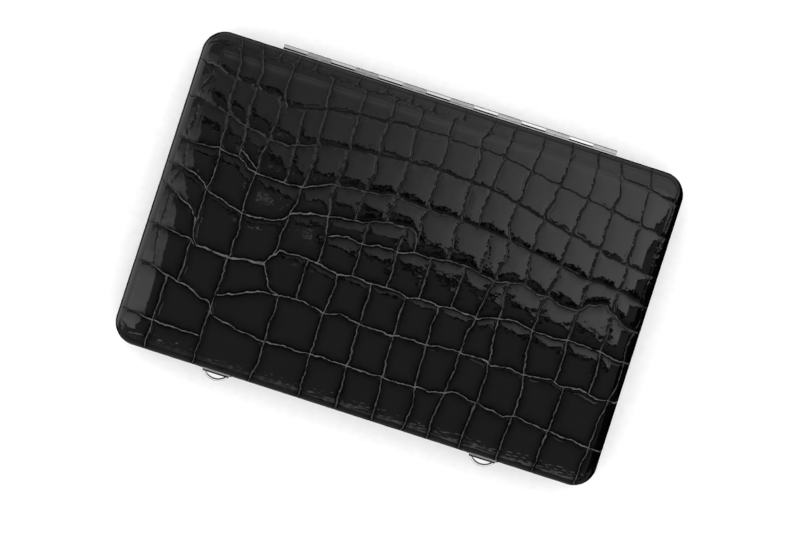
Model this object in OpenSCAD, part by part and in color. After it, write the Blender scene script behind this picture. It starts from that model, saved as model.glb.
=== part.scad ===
// Manicure set case: two rigid halves covered in embossed leather, joined by a piano hinge and
// shut by two push buttons, with the tools of the set strapped to a panel inside.
// X runs along the hinge, Y from the push buttons towards the hinge, Z up.
// The origin is the middle of the flat underside that the case lies on.

/* [Case] */
// Length of the shut case, along the hinge
case_l = 150; // [148:1:180]
// Depth of the shut case, from its front edge to its back edge
case_w = 97.6; // [96:0.2:120]
// Height of the shut case, both halves together
case_h = 26; // [25:0.5:36]
// Radius of the four corners, seen from above
corner_r = 7; // [6.4:0.2:9]
// Radius of the rolled edge round each face
edge_r = 6; // [4.5:0.25:6]
// Gap between the two metal rims when the case is shut
parting_gap = 0.2; // [0.1:0.05:0.3]

/* [Walls] */
// Thickness of the leather cover
leather_t = 0.9; // [0.7:0.05:1.1]
// Thickness of the board that stiffens each half
board_t = 1.5; // [1.2:0.1:1.8]
// Thickness of the lining
lining_t = 0.6; // [0.4:0.05:0.8]
// Gap that the glue fills between two layers
glue_gap = 0.05; // [0.03:0.01:0.08]
// Thickness of the leather edge that is skived and tucked behind the rim
tuck_t = 0.5; // [0.35:0.05:0.6]
// Height over which the cover thickens into its tucked edge
tuck_run = 0.85; // [0.6:0.05:1.2]
// Thickness of the stiff panel that carries the tools, and of the pad in the lid
panel_t = 1.6; // [1.2:0.1:2]
// Gap round that panel as it drops through the rim
panel_gap = 0.2; // [0.15:0.05:0.4]
// Corner radius of the panel
panel_r = 3; // [2:0.25:5]

/* [Rim] */
// How far the metal rim lies inside the outline of the leather
rim_inset = 0.2; // [0.1:0.05:0.3]
// Thickness of the rim's sheet metal
rim_t = 0.6; // [0.5:0.05:0.7]
// Height of the rim's upright wall
rim_h = 3; // [2.9:0.05:3.4]
// Width of the rim's flat flange
flange_w = 6; // [5.9:0.1:6.4]
// Height of the lip that is turned over at the inside of the flange
lip_h = 1.4; // [1:0.1:1.8]

/* [Hinge] */
// Length of the piano hinge
hinge_l = 104.3; // [90:0.1:125]
// Number of knuckles, shared out in turn between the two leaves
knuckles = 14; // [10:2:18]
// Radius of the hinge barrel
barrel_r = 0.9; // [0.85:0.01:1]
// Radius of the hinge pin
pin_r = 0.42; // [0.38:0.01:0.46]
// Running clearance round the pin
pin_clear = 0.03; // [0.02:0.01:0.05]
// Thickness of each hinge leaf
leaf_t = 0.45; // [0.35:0.05:0.5]
// Gap between neighbouring knuckles
knuckle_gap = 0.1; // [0.06:0.02:0.2]
// Clearance between a knuckle and the metal of the other half
hinge_clear = 0.12; // [0.1:0.01:0.2]
// Radius of the rivets that hold the leaves and the catches
rivet_r = 0.45; // [0.35:0.05:0.55]
// Radius of a rivet's head
rivet_head_r = 0.8; // [0.7:0.05:0.9]
// Height of a rivet's head
rivet_head_h = 0.25; // [0.15:0.05:0.3]

/* [Catches] */
// Distance of each push button from the middle of the case
catch_x = 41.7; // [30:0.1:50]
// Width of a push button
button_w = 8.4; // [7:0.1:10]
// How far a push button stands out of the rim
button_out = 2.95; // [2.6:0.05:3.2]
// Depth of the button's half-moon front
button_round = 2.35; // [1.8:0.05:2.5]
// Thickness of a push button
button_t = 1.8; // [1.6:0.05:1.85]
// Radius on the edges of the rim round the half-moon front
button_edge_r = 0.15; // [0.1:0.05:0.3]
// Width of that rim
button_rim_w = 0.4; // [0.3:0.05:0.8]
// Height by which the half-moon's face stands over its rim
button_step = 0.45; // [0.2:0.05:0.45]
// How far a button is pushed in
button_travel = 1.2; // [0.9:0.05:1.3]
// Sliding clearance beside, over and under a button
slide_clear = 0.15; // [0.1:0.01:0.2]
// Thickness of the surround that frames the button
bezel_t = 0.45; // [0.3:0.05:0.5]
// Width of the surround beside the button's slot
bezel_margin = 0.5; // [0.4:0.05:0.8]
// Width of the latch hook
latch_w = 4.4; // [3.6:0.1:5]
// Thickness of the latch hook's shank
latch_t = 0.6; // [0.5:0.05:0.7]
// How far the hook reaches over the edge of the lid's window
latch_hold = 0.6; // [0.4:0.05:0.7]
// Gap between the hook and the lid's flange
latch_gap = 0.1; // [0.05:0.01:0.15]
// Height of the hook's bevelled nose
nose_h = 0.8; // [0.6:0.05:0.9]
// Metal left on each side of the latch hook's seat in the slider
seat_wall = 0.6; // [0.5:0.05:0.8]
// Thickness of the sheet metal of a catch's housing
housing_t = 0.4; // [0.3:0.05:0.5]
// Width of the ears by which a housing is riveted to the flange
ear_w = 2.3; // [2.1:0.05:2.6]
// Thickness of the bowed leaf spring
spring_t = 0.2; // [0.15:0.01:0.25]
// Height of the spring's bow
spring_rise = 1.8; // [1.7:0.05:2]

/* [Set] */
// Length of the tool panel for which the tools' places and widths are given
kit_room = 137.2; // [130:0.1:145]

/* [Straps] */
// Width of a tool strap
strap_w = 8; // [6:0.5:10]
// Thickness of a tool strap
strap_t = 0.8; // [0.6:0.05:1]
// Length of the sewn foot at each end of a strap
strap_foot = 2; // [1.6:0.1:2.2]
// Slack between a strap and the tool that it holds
strap_slack = 0.2; // [0.1:0.05:0.3]

/* [File and pusher] */
// Place of the nail file along the case
file_x = -60.5; // [-61:0.5:-60]
// Length of the whole nail file
file_l = 80; // [70:1:82]
// Width of the file's blade
file_w = 6.4; // [5:0.2:7]
// Thickness of the file's blade
file_t = 0.9; // [0.6:0.1:1.2]
// Length of the file's handle
file_handle_l = 27; // [22:1:32]
// Width of the file's handle
file_handle_w = 8; // [7:0.2:8]
// Thickness of the file's handle
file_handle_t = 2.3; // [2:0.1:2.8]
// Place of the cuticle pusher along the case
pusher_x = -51; // [-51.5:0.25:-50.5]
// Length of the cuticle pusher
pusher_l = 80; // [70:1:82]
// Radius of the pusher's rod
pusher_r = 1.5; // [1.2:0.1:1.6]
// Width of the pusher's spoon
pusher_spoon_w = 4.6; // [3.6:0.2:5]

/* [Scissors] */
// Place of the nail scissors along the case
nail_x = -25.5; // [-26:0.5:-25]
// Length of the nail scissors
nail_l = 79; // [74:1:81]
// Radius of the nail scissors' finger rings, to the middle of the wire
nail_ring_r = 9.3; // [8.5:0.1:9.6]
// Greatest reach of each of the nail scissors' blades from the middle
nail_blade_w = 2.6; // [2.2:0.1:3]
// Place of the cuticle scissors along the case
cuticle_x = 46.5; // [46:0.5:47]
// Length of the cuticle scissors
cuticle_l = 76; // [72:1:80]
// Radius of the cuticle scissors' finger rings, to the middle of the wire
cuticle_ring_r = 8.2; // [7.5:0.1:8.6]
// Greatest reach of each of the cuticle scissors' blades from the middle
cuticle_blade_w = 2; // [1.8:0.1:2.4]
// Radius of the wire of the finger rings
ring_wire_r = 1.3; // [1.1:0.05:1.35]
// Gap between the two finger rings of a pair of scissors
ring_gap = 0.7; // [0.4:0.1:1]
// Thickness of one scissor half at the pivot
scissor_t = 1.2; // [1:0.1:1.25]
// Gap between the two halves of the scissors
scissor_gap = 0.05; // [0.03:0.01:0.08]
// Radius of the pivot screw's shank
screw_r = 1.1; // [0.9:0.1:1.3]
// Radius of the pivot screw's head
screw_head_r = 2; // [1.8:0.1:2.3]
// Height of the pivot screw's head
screw_head_h = 0.5; // [0.4:0.1:0.7]

/* [Tweezers and clipper] */
// Place of the tweezers along the case
tweezers_x = 4.5; // [4:0.5:5]
// Length of the tweezers
tweezers_l = 78; // [70:1:82]
// Width of the tweezers at their grip
tweezers_w = 9; // [8:0.2:9]
// Thickness of each arm of the tweezers
tweezers_t = 0.9; // [0.7:0.1:1]
// Height of the tweezers across both arms
tweezers_h = 3.1; // [2.8:0.1:3.2]
// Place of the nail clipper along the case
clipper_x = 18.5; // [18.5:0.5:19.5]
// Length of the nail clipper
clipper_l = 54; // [48:1:64]
// Width of the nail clipper
clipper_w = 12; // [10:0.5:12]
// Thickness of each jaw and of the lever
clipper_t = 0.9; // [0.7:0.1:1]
// Height of the nail clipper with its lever folded down
clipper_h = 5.6; // [5.2:0.1:6]

/* [Hidden] */
$fn = 48;
cut = 1;                                             // how far a cutter runs past what it cuts
half_h = case_h / 2;
rim_top = half_h - parting_gap / 2;                  // top face of the base rim
flange_z = rim_top - rim_t;                          // underside of the base flange
wall_z = rim_top - rim_h;                            // lower edge of the base rim's wall
front_y = rim_inset - case_w / 2;                    // outer face of the rim at the front
back_y = -front_y;                                   // outer face of the rim at the back

// Layers, each given by how far it lies inside the outline
board_in = leather_t + glue_gap;
lining_in = board_in + board_t + glue_gap;
room_in = lining_in + lining_t;                      // the room inside, and the height of its floor
tuck_in = rim_inset + rim_t + glue_gap;
collar_in = tuck_in + tuck_t + glue_gap;             // the board's thinner collar behind the tuck
cover_top = wall_z - glue_gap;
tuck_z = cover_top - tuck_run;
layer_top = flange_z - glue_gap;
flange_in = rim_inset + flange_w;
panel_top = room_in + panel_t;

// Hinge
hinge_y = back_y + barrel_r;
pitch = hinge_l / knuckles;
bore_r = pin_r + pin_clear;
notch_z = half_h - barrel_r - hinge_clear;           // top of a leaf beside the other leaf's knuckle
leaf_z = wall_z + glue_gap;
rivet_z = (leaf_z + notch_z) / 2;
rivet_fit = 0.02;

// Catches, along Y from the outer face of the rim
slot_w = button_w + 2 * slide_clear;
slide_top = flange_z - slide_clear;
slide_z = slide_top - button_t;
slot_z = slide_z - slide_clear;
latch_y = rim_t + latch_hold + 0.5;                  // outer face of the hook's shank
slide_end = latch_y + latch_t + seat_wall;
window_y = latch_y - latch_gap;
nose_z = case_h - flange_z + latch_gap;              // underside of the nose, over the lid's flange
room_for_spring = spring_rise + 0.1;
housing_end = slide_end + room_for_spring + housing_t;
housing_z = slot_z - housing_t;
ear_x = slot_w / 2 + housing_t;
ear_y = housing_end - 2 * ear_w;
catch_rivet_x = ear_x + ear_w / 2;
catch_rivet_y = housing_end - ear_w;
notch_w = 2 * (ear_x + ear_w) + 0.8;
bow_half = button_w / 2 - 0.4;
bow_r = (pow(bow_half, 2) + pow(spring_rise, 2)) / (2 * spring_rise);

// Tools, with heights counted from the panel that they lie on, and with their places and
// widths along the case kept in proportion to the panel
panel_l = case_l - 2 * (flange_in + panel_gap);
panel_w = case_w - 2 * (flange_in + panel_gap);
kit = panel_l / kit_room;
tool_z = panel_top + 0.05;
ring_z = tool_z + ring_wire_r;
blade_z = tool_z + 0.2;                              // underside of the lower scissor half
upper_z = blade_z + scissor_t + scissor_gap;         // underside of the upper one
hollow_h = 0.8;                                      // how far the file's blade lies above the panel
handle_y = (file_handle_l - file_l) / 2;
strap_inner_r = 0.4;
tang_l = file_handle_l / 2;
tang_w = 0.45 * file_w * kit;

// ---------- shapes shared by both halves ----------

// A rectangle with round corners, about its middle
module rounded(l, w, r) {
    square([l - 2 * r, w], center = true);
    square([l, w - 2 * r], center = true);
    for (sx = [-1, 1], sy = [-1, 1])
        translate([sx * (l / 2 - r), sy * (w / 2 - r)])
            circle(r);
}

// The outline of the case, drawn in by an inset
module outline(inset) {
    rounded(case_l - 2 * inset, case_w - 2 * inset, max(corner_r - inset, 0.6));
}

// Half of a section through a rolled edge: x out from a corner's centre, y up
module edge_section(rc, re, h) {
    square([rc - re, h]);
    translate([0, re])
        square([rc, h - re]);
    translate([rc - re, 0])
        intersection() {
            translate([0, re])
                circle(re);
            square(re);
        }
}

// One half of the case as a solid, drawn in by an inset and cut off level at a height
module form(inset, top) {
    cx = case_l / 2 - corner_r;
    cy = case_w / 2 - corner_r;
    rc = corner_r - inset;
    re = edge_r - inset;
    h = top - inset;
    translate([0, 0, inset]) {
        translate([-cx, -cy, 0])
            cube([2 * cx, 2 * cy, h]);
        for (m = [0, 1]) {
            mirror([0, m, 0])
                translate([-cx, cy, 0])
                    rotate([90, 0, 90])
                        linear_extrude(2 * cx)
                            edge_section(rc, re, h);
            mirror([m, 0, 0])
                translate([cx, cy, 0])
                    rotate([90, 0, 0])
                        linear_extrude(2 * cy)
                            edge_section(rc, re, h);
        }
        for (mx = [0, 1], my = [0, 1])
            mirror([mx, 0, 0])
                mirror([0, my, 0])
                    translate([cx, cy, 0])
                        rotate_extrude(angle = 90)
                            edge_section(rc, re, h);
    }
}

// The lid is the base turned over, about the plane where they meet
module flip() {
    translate([0, 0, case_h])
        mirror([0, 0, 1])
            children();
}

module half_leather() {
    difference() {
        union() {
            form(0, cover_top);
            form(tuck_in, layer_top);
        }
        form(leather_t, tuck_z);
        form(tuck_in + tuck_t, case_h);
    }
}

module half_board() {
    difference() {
        union() {
            form(board_in, tuck_z - glue_gap);
            form(collar_in, layer_top);
        }
        form(board_in + board_t, case_h);
    }
}

module half_lining() {
    difference() {
        form(lining_in, layer_top);
        form(room_in, case_h);
    }
}

// A flat band that follows the outline, from one inset to another
module band(inset, width, z, h) {
    translate([0, 0, z])
        linear_extrude(h)
            difference() {
                outline(inset);
                outline(inset + width);
            }
}

module half_rim() {
    band(rim_inset, rim_t, wall_z, rim_h);
    band(rim_inset, flange_w, flange_z, rim_t);
    band(flange_in - rim_t, rim_t, rim_top - lip_h, lip_h);
}

module panel() {
    linear_extrude(panel_t)
        rounded(panel_l, panel_w, panel_r);
}

// ---------- hinge ----------

// A rod along X on the hinge's axis
module on_axis(r, l, x = 0) {
    translate([x, hinge_y, half_h])
        rotate([0, 90, 0])
            cylinder(r = r, h = l, center = true);
}

function knuckle_x(i) = (i + 0.5) * pitch - hinge_l / 2;

// The base's half of the hinge. Its knuckles are every second one, from the first.
module leaf(first) {
    difference() {
        union() {
            difference() {
                translate([-hinge_l / 2, back_y, leaf_z])
                    cube([hinge_l, leaf_t, rim_top - leaf_z]);
                for (i = [1 - first : 2 : knuckles - 1])
                    translate([knuckle_x(i) - (pitch + knuckle_gap) / 2, back_y - cut, notch_z])
                        cube([pitch + knuckle_gap, leaf_t + 2 * cut, half_h]);
            }
            for (i = [first : 2 : knuckles - 1])
                on_axis(barrel_r, pitch - knuckle_gap, knuckle_x(i));
        }
        on_axis(bore_r, hinge_l + 2 * cut);
        hinge_rivet_holes(first);
    }
}

module at_hinge_rivets(first) {
    for (i = [first : 2 : knuckles - 1])
        translate([knuckle_x(i), back_y, rivet_z])
            rotate([-90, 0, 0])
                children();
}

module hinge_rivet_holes(first) {
    at_hinge_rivets(first)
        cylinder(r = rivet_r + rivet_fit, h = 4 * rim_t, center = true);
}

// A rivet set flush inside the rim, with its head on the leaf
module hinge_rivet() {
    translate([0, 0, -rim_t])
        cylinder(r = rivet_r, h = rim_t + leaf_t);
    translate([0, 0, leaf_t])
        cylinder(r1 = rivet_head_r, r2 = 0.6 * rivet_head_r, h = rivet_head_h);
}

// Room in a rim for the knuckles of both leaves
module barrel_room() {
    on_axis(barrel_r + hinge_clear, hinge_l + 2 * knuckle_gap);
}

// ---------- catches, drawn in place at the middle of the front ----------

module at_catch(side) {
    translate([side * catch_x, front_y, 0])
        children();
}

module button_slot() {
    translate([-slot_w / 2, -cut, slot_z])
        cube([slot_w, rim_t + 2 * cut, button_t + 2 * slide_clear]);
}

// Slot in the base flange in which the latch hook travels
module latch_slot() {
    translate([-latch_w / 2 - slide_clear, latch_y - slide_clear, flange_z - cut])
        cube([latch_w + 2 * slide_clear, latch_t + button_travel + 2 * slide_clear, rim_t + 2 * cut]);
}

// Window in the lid's flange that the latch hook closes on
module latch_window() {
    translate([-latch_w / 2 - slide_clear, window_y, half_h])
        cube([latch_w + 2 * slide_clear, latch_t + button_travel + 3 * slide_clear, 2 * rim_t]);
}

// Room behind the lid's flange for the nose of the hook
module nose_room() {
    translate([-latch_w / 2 - 2 * slide_clear, rim_t + glue_gap / 2, half_h])
        cube([latch_w + 4 * slide_clear, slide_end + button_travel, nose_z + nose_h + 0.5 - half_h]);
}

// Room cut in the base's board, tuck and lining for a catch
module catch_room() {
    translate([-notch_w / 2, rim_t + glue_gap / 2, housing_z - slide_clear])
        cube([notch_w, flange_w, half_h]);
}

module catch_rivet_holes() {
    for (s = [-1, 1])
        translate([s * catch_rivet_x, catch_rivet_y, flange_z - 2 * housing_t])
            cylinder(r = rivet_r + rivet_fit, h = rim_t + 4 * housing_t);
}

// Push button: a half-moon front on a flat slider
module button() {
    r = (pow(button_w / 2, 2) + pow(button_round, 2)) / (2 * button_round);
    groove_y = bezel_t + slide_clear;
    groove_d = 0.2;
    difference() {
        union() {
            translate([0, -button_out + r, slide_z])
                intersection() {
                    rotate_extrude()
                        button_section(r);
                    translate([-button_w / 2, -r, 0])
                        cube([button_w, button_round, button_t]);
                }
            translate([-button_w / 2, button_round - button_out, slide_z])
                cube([button_w, slide_end + button_out - button_round, button_t]);
        }
        for (z = [slide_z, slide_top])
            translate([-slot_w / 2, -groove_y - 2 * groove_d, z - groove_d])
                cube([slot_w, 2 * groove_d, 2 * groove_d]);
        translate([-latch_w / 2 - rivet_fit, latch_y - rivet_fit, slide_z - cut])
            cube([latch_w + 2 * rivet_fit, latch_t + 2 * rivet_fit, button_t + 2 * cut]);
    }
}

// Half section of the disc that the half-moon front is cut from: a rim round a bevelled face
module button_section(r) {
    e = button_edge_r;
    face_r = r - button_rim_w;
    polygon([
        [0, 0],
        [face_r - button_step, 0],
        [face_r, button_step],
        [face_r, button_t - button_step],
        [face_r - button_step, button_t],
        [0, button_t]
    ]);
    translate([0, button_step])
        square([r - e, button_t - 2 * button_step]);
    translate([0, button_step + e])
        square([r, button_t - 2 * (button_step + e)]);
    for (z = [button_step + e, button_t - button_step - e])
        intersection() {
            translate([r - e, z])
                circle(e);
            translate([r - e, button_step])
                square([e, button_t]);
        }
}

module latch() {
    nose_y = window_y - latch_hold;
    translate([-latch_w / 2, 0, 0])
        rotate([90, 0, 90])
            linear_extrude(latch_w)
                polygon([
                    [latch_y, slide_z],
                    [latch_y + latch_t, slide_z],
                    [latch_y + latch_t, nose_z + nose_h],
                    [latch_y + latch_t / 2, nose_z + nose_h],
                    [nose_y, nose_z + nose_h / 4],
                    [nose_y, nose_z],
                    [latch_y, nose_z]
                ]);
}

module bezel() {
    w = slot_w + 2 * bezel_margin;
    z0 = wall_z + glue_gap;
    h = rim_top - z0 - glue_gap;
    difference() {
        translate([0, 0, z0 + h / 2])
            rotate([90, 0, 0])
                linear_extrude(bezel_t)
                    rounded(w, h, bezel_margin);
        button_slot();
    }
}

// Folded sheet-metal box that guides the slider, riveted under the flange
module housing() {
    y0 = rim_t + glue_gap;
    h = flange_z - housing_z;
    difference() {
        union() {
            translate([-ear_x, y0, housing_z])
                cube([2 * ear_x, housing_end - y0, h]);
            translate([-ear_x - ear_w, ear_y, flange_z - housing_t])
                cube([2 * (ear_x + ear_w), housing_end - ear_y, housing_t]);
        }
        translate([-slot_w / 2, y0 - cut, slot_z])
            cube([slot_w, housing_end - housing_t - y0 + cut, h]);
        catch_rivet_holes();
    }
}

// Leaf spring, bowed against the slider and footed on the back of the housing
module bow_spring() {
    foot_y = slide_end + room_for_spring - 0.05;
    translate([0, foot_y, slide_z + slide_clear])
        linear_extrude(button_t - 2 * slide_clear)
            intersection() {
                translate([0, bow_r - spring_rise])
                    difference() {
                        circle(bow_r);
                        circle(bow_r - spring_t);
                    }
                translate([-button_w / 2, -2 * spring_rise])
                    square([button_w, 2 * spring_rise]);
            }
}

// ---------- tools ----------

// One strap, sewn down on both sides of a tool of a given width and height
module strap(x, y, w, h) {
    iw = w + 2 * strap_slack;
    ih = h + strap_slack;
    translate([x * kit, y + strap_w / 2, panel_top])
        rotate([90, 0, 0])
            linear_extrude(strap_w) {
                difference() {
                    arch(iw + 2 * strap_t, ih + strap_t, strap_inner_r + strap_t);
                    translate([0, -cut])
                        arch(iw, ih + cut, strap_inner_r);
                }
                for (s = [-1, 1])
                    translate([s * (iw / 2 + strap_t / 2 + strap_foot / 2), strap_t / 2])
                        square([strap_foot + strap_t, strap_t], center = true);
            }
}

// A block standing on the x axis with its two upper corners rounded
module arch(w, h, corner) {
    r = min(corner, h / 2);
    translate([-w / 2, 0])
        square([w, h - r]);
    translate([-w / 2 + r, 0])
        square([w - 2 * r, h]);
    for (s = [-1, 1])
        translate([s * (w / 2 - r), h - r])
            circle(r);
}

// An outline drawn flat at a height and given a thickness
module plate(z, t) {
    translate([0, 0, z])
        linear_extrude(t)
            children();
}

// A profile drawn from the side, y along and z up, and given a width across
module from_side(w) {
    translate([-w / 2, 0, 0])
        rotate([90, 0, 90])
            linear_extrude(w)
                children();
}

// Where things are along a pair of scissors, with the finger rings towards -Y
function scissor_pivot(l) = 0.12 * l;
function ring_out(r) = r + ring_wire_r;
function ring_y(l, r) = ring_out(r) - l / 2;
function ring_x(r) = ring_out(r) + ring_gap / 2;
function boss_y(l) = scissor_pivot(l) - 9;
boss_x = 2.7;
shank_w = 3.4;
scissor_top = upper_z + scissor_t;

// How far the two shanks reach from the middle, at a place along a pair of scissors
function shank_out(l, r, y) =
    boss_x + (ring_x(r) - boss_x) * (boss_y(l) - y) / (boss_y(l) - ring_y(l, r)) + shank_w / 2;

// One half of a pair of scissors. Its ring is on one side and its blade on the other.
module scissor_half(side, z, l, r, blade_w) {
    py = scissor_pivot(l);
    tip = l / 2;
    ring = [side * ring_x(r), ring_y(l, r)];
    boss = [side * boss_x, boss_y(l)];
    along = (boss - ring) / norm(boss - ring);
    across = [along.y, -along.x];
    neck = ring + r * along;
    difference() {
        union() {
            translate([ring.x, ring.y, ring_z])
                rotate_extrude()
                    translate([r, 0])
                        circle(ring_wire_r, $fn = 24);
            intersection() {
                plate(panel_top, case_h)
                    polygon([
                        neck - 0.9 * across,
                        neck + 0.9 * across,
                        boss + shank_w / 2 * across,
                        boss - shank_w / 2 * across
                    ]);
                from_side(case_l)
                    polygon([
                        [neck.y - 1, ring_z - 0.8],
                        [boss.y - 0.8, z],
                        [boss.y + 2, z],
                        [boss.y + 2, z + scissor_t],
                        [boss.y - 0.8, z + scissor_t],
                        [neck.y - 1, ring_z + 0.8]
                    ]);
            }
            plate(z, scissor_t)
                polygon([
                    [side * 4.4, boss.y - 0.6],
                    [side * 1, boss.y - 0.6],
                    [-side * 3, py - 3.2],
                    [-side * 3.6, py + 2],
                    [-side * blade_w, py + 0.4 * (tip - py)],
                    [-side * 0.3, tip],
                    [side * 0.5, tip - 2.5],
                    [side * 1.4, py + 4],
                    [side * 3.4, py - 2]
                ]);
        }
        translate([0, py, z - cut])
            cylinder(r = screw_r + rivet_fit, h = scissor_t + 2 * cut);
    }
}

module scissor_screw(l) {
    translate([0, scissor_pivot(l), blade_z]) {
        cylinder(r = screw_r, h = 2 * scissor_t + scissor_gap);
        translate([0, 0, 2 * scissor_t + scissor_gap])
            difference() {
                cylinder(r1 = screw_head_r, r2 = 0.8 * screw_head_r, h = screw_head_h);
                translate([0, 0, screw_head_h])
                    cube([4 * screw_head_r, 0.5, screw_head_h], center = true);
            }
    }
}

// The cuticle scissors lie the other way round, so that their rings clear the clipper
module at_cuticle() {
    translate([cuticle_x * kit, 0, 0])
        rotate([0, 0, 180])
            children();
}

// Heights of the clipper's pieces above the panel
clip_low = tool_z + clipper_t;
clip_lip = tool_z + 0.34 * clipper_h;
clip_rise = tool_z + 0.6 * clipper_h;
clip_top = tool_z + clipper_h - 0.3;
clip_pin_y = 0.37 * clipper_l;
clip_pin_r = 1.2;

// ---------- sub-parts ----------

module base_leather() {
    color([0.07, 0.07, 0.08])
        difference() {
            half_leather();
            for (s = [-1, 1])
                at_catch(s)
                    catch_room();
        }
}

module base_board() {
    color([0.62, 0.5, 0.36])
        difference() {
            half_board();
            for (s = [-1, 1])
                at_catch(s)
                    catch_room();
        }
}

module base_rim() {
    color([0.78, 0.78, 0.8])
        difference() {
            half_rim();
            barrel_room();
            hinge_rivet_holes(0);
            for (s = [-1, 1])
                at_catch(s) {
                    button_slot();
                    latch_slot();
                    catch_rivet_holes();
                }
        }
}

module base_lining() {
    color([0.35, 0.05, 0.08])
        difference() {
            half_lining();
            for (s = [-1, 1])
                at_catch(s)
                    catch_room();
        }
}

module insert_panel() {
    color([0.42, 0.07, 0.1])
        translate([0, 0, room_in])
            panel();
}

module hinge_leaf_base() {
    color([0.72, 0.72, 0.74])
        leaf(0);
}

module hinge_pin() {
    color([0.6, 0.6, 0.62])
        on_axis(pin_r, hinge_l - knuckle_gap);
}

module hinge_rivets_base() {
    color([0.82, 0.82, 0.84])
        at_hinge_rivets(0)
            hinge_rivet();
}

module catch_bezel_left() {
    color([0.7, 0.7, 0.72])
        at_catch(-1)
            bezel();
}

module catch_bezel_right() {
    color([0.7, 0.7, 0.72])
        at_catch(1)
            bezel();
}

module catch_housing_left() {
    color([0.55, 0.55, 0.58])
        at_catch(-1)
            housing();
}

module catch_housing_right() {
    color([0.55, 0.55, 0.58])
        at_catch(1)
            housing();
}

// Rivets set flush with the top of the flange, headed under the housings' ears
module catch_rivets() {
    color([0.82, 0.82, 0.84])
        for (side = [-1, 1])
            at_catch(side)
                for (s = [-1, 1])
                    translate([s * catch_rivet_x, catch_rivet_y, flange_z - housing_t]) {
                        cylinder(r = rivet_r, h = housing_t + rim_t);
                        translate([0, 0, -rivet_head_h])
                            cylinder(r1 = 0.6 * rivet_head_r, r2 = rivet_head_r, h = rivet_head_h);
                    }
}

module catch_spring_left() {
    color([0.45, 0.46, 0.5])
        at_catch(-1)
            bow_spring();
}

module catch_spring_right() {
    color([0.45, 0.46, 0.5])
        at_catch(1)
            bow_spring();
}

module button_left() {
    color([0.86, 0.86, 0.88])
        at_catch(-1)
            button();
}

module button_right() {
    color([0.86, 0.86, 0.88])
        at_catch(1)
            button();
}

module latch_left() {
    color([0.6, 0.6, 0.64])
        at_catch(-1)
            latch();
}

module latch_right() {
    color([0.6, 0.6, 0.64])
        at_catch(1)
            latch();
}

// Each strap lies at a share of its tool's length. Those of neighbours are staggered.
module tool_straps() {
    scissor_h = scissor_top - panel_top;
    nail_y = -0.04 * nail_l;
    cuticle_y = -0.045 * cuticle_l;
    nail_w = 2 * shank_out(nail_l, nail_ring_r * kit, nail_y - strap_w / 2);
    cuticle_w = 2 * shank_out(cuticle_l, cuticle_ring_r * kit, cuticle_y - strap_w / 2);
    color([0.3, 0.04, 0.06]) {
        strap(file_x, handle_y, file_handle_w * kit, file_handle_t);
        strap(file_x, 0.125 * file_l, file_w * kit, file_t + hollow_h);
        strap(pusher_x, -0.075 * pusher_l, 2 * pusher_r, 2 * pusher_r);
        strap(pusher_x, 0.25 * pusher_l, 2 * pusher_r, 2 * pusher_r);
        strap(nail_x, nail_y, nail_w, scissor_h);
        strap(nail_x, 0.34 * nail_l, 2 * nail_blade_w, scissor_h);
        strap(tweezers_x, -0.165 * tweezers_l, tweezers_w * kit, tweezers_h);
        strap(tweezers_x, 0.22 * tweezers_l, tweezers_w * kit, tweezers_h);
        strap(clipper_x, -0.075 * clipper_l, clipper_w * kit, clipper_h);
        strap(cuticle_x, -cuticle_y, cuticle_w, scissor_h);
        strap(cuticle_x, -0.33 * cuticle_l, 2 * cuticle_blade_w, scissor_h);
    }
}

module file_blade() {
    w = file_w * kit / 2;
    y1 = file_l / 2;
    y0 = file_handle_l - y1;
    color([0.75, 0.76, 0.78])
        translate([file_x * kit, 0, 0])
            plate(tool_z + hollow_h, file_t)
                polygon([
                    [-tang_w / 2, y0 - tang_l],
                    [tang_w / 2, y0 - tang_l],
                    [tang_w / 2, y0],
                    [w, y0 + w],
                    [0.9 * w, 0.65 * y1],
                    [0.45 * w, 0.92 * y1],
                    [0, y1],
                    [-0.45 * w, 0.92 * y1],
                    [-0.9 * w, 0.65 * y1],
                    [-w, y0 + w],
                    [-tang_w / 2, y0]
                ]);
}

module file_handle() {
    w = file_handle_w * kit;
    color([0.08, 0.08, 0.09])
        translate([file_x * kit, handle_y, tool_z])
            difference() {
                intersection() {
                    linear_extrude(file_handle_t)
                        rounded(w, file_handle_l, 0.42 * w);
                    translate([0, file_handle_l / 2, file_handle_t / 2])
                        rotate([90, 0, 0])
                            linear_extrude(file_handle_l)
                                rounded(w, file_handle_t, 0.37 * file_handle_t);
                }
                translate([0, file_handle_l / 2 - tang_l - rivet_fit, hollow_h - rivet_fit])
                    translate([-tang_w / 2 - rivet_fit, 0, 0])
                        cube([tang_w + 2 * rivet_fit, tang_l + cut, file_t + 2 * rivet_fit]);
            }
}

module cuticle_pusher() {
    grip_l = 0.3 * pusher_l;
    rod_l = 0.72 * pusher_l;
    spoon_w = pusher_spoon_w * kit;
    color([0.8, 0.8, 0.82])
        translate([pusher_x * kit, 0, tool_z + pusher_r]) {
            rotate([90, 0, 0]) {
                cylinder(r = pusher_r, h = rod_l, center = true);
                for (i = [-5 : 5])
                    translate([0, 0, i * grip_l / 10])
                        cylinder(r = pusher_r + 0.04, h = 0.8, center = true);
            }
            hull() {
                translate([0, rod_l / 2 - 0.1, 0])
                    rotate([90, 0, 0])
                        cylinder(r = 0.9 * pusher_r, h = 0.2, $fn = 24);
                translate([0, pusher_l / 2 - spoon_w / 2, -0.3])
                    cylinder(d = spoon_w, h = 0.7, $fn = 24);
            }
            hull() {
                translate([0, 0.1 - rod_l / 2, 0])
                    rotate([90, 0, 0])
                        cylinder(r = 0.9 * pusher_r, h = 0.2, $fn = 24);
                translate([-0.7, -pusher_l / 2, -0.25])
                    cube([1.4, 1.5, 0.5]);
            }
        }
}

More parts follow.
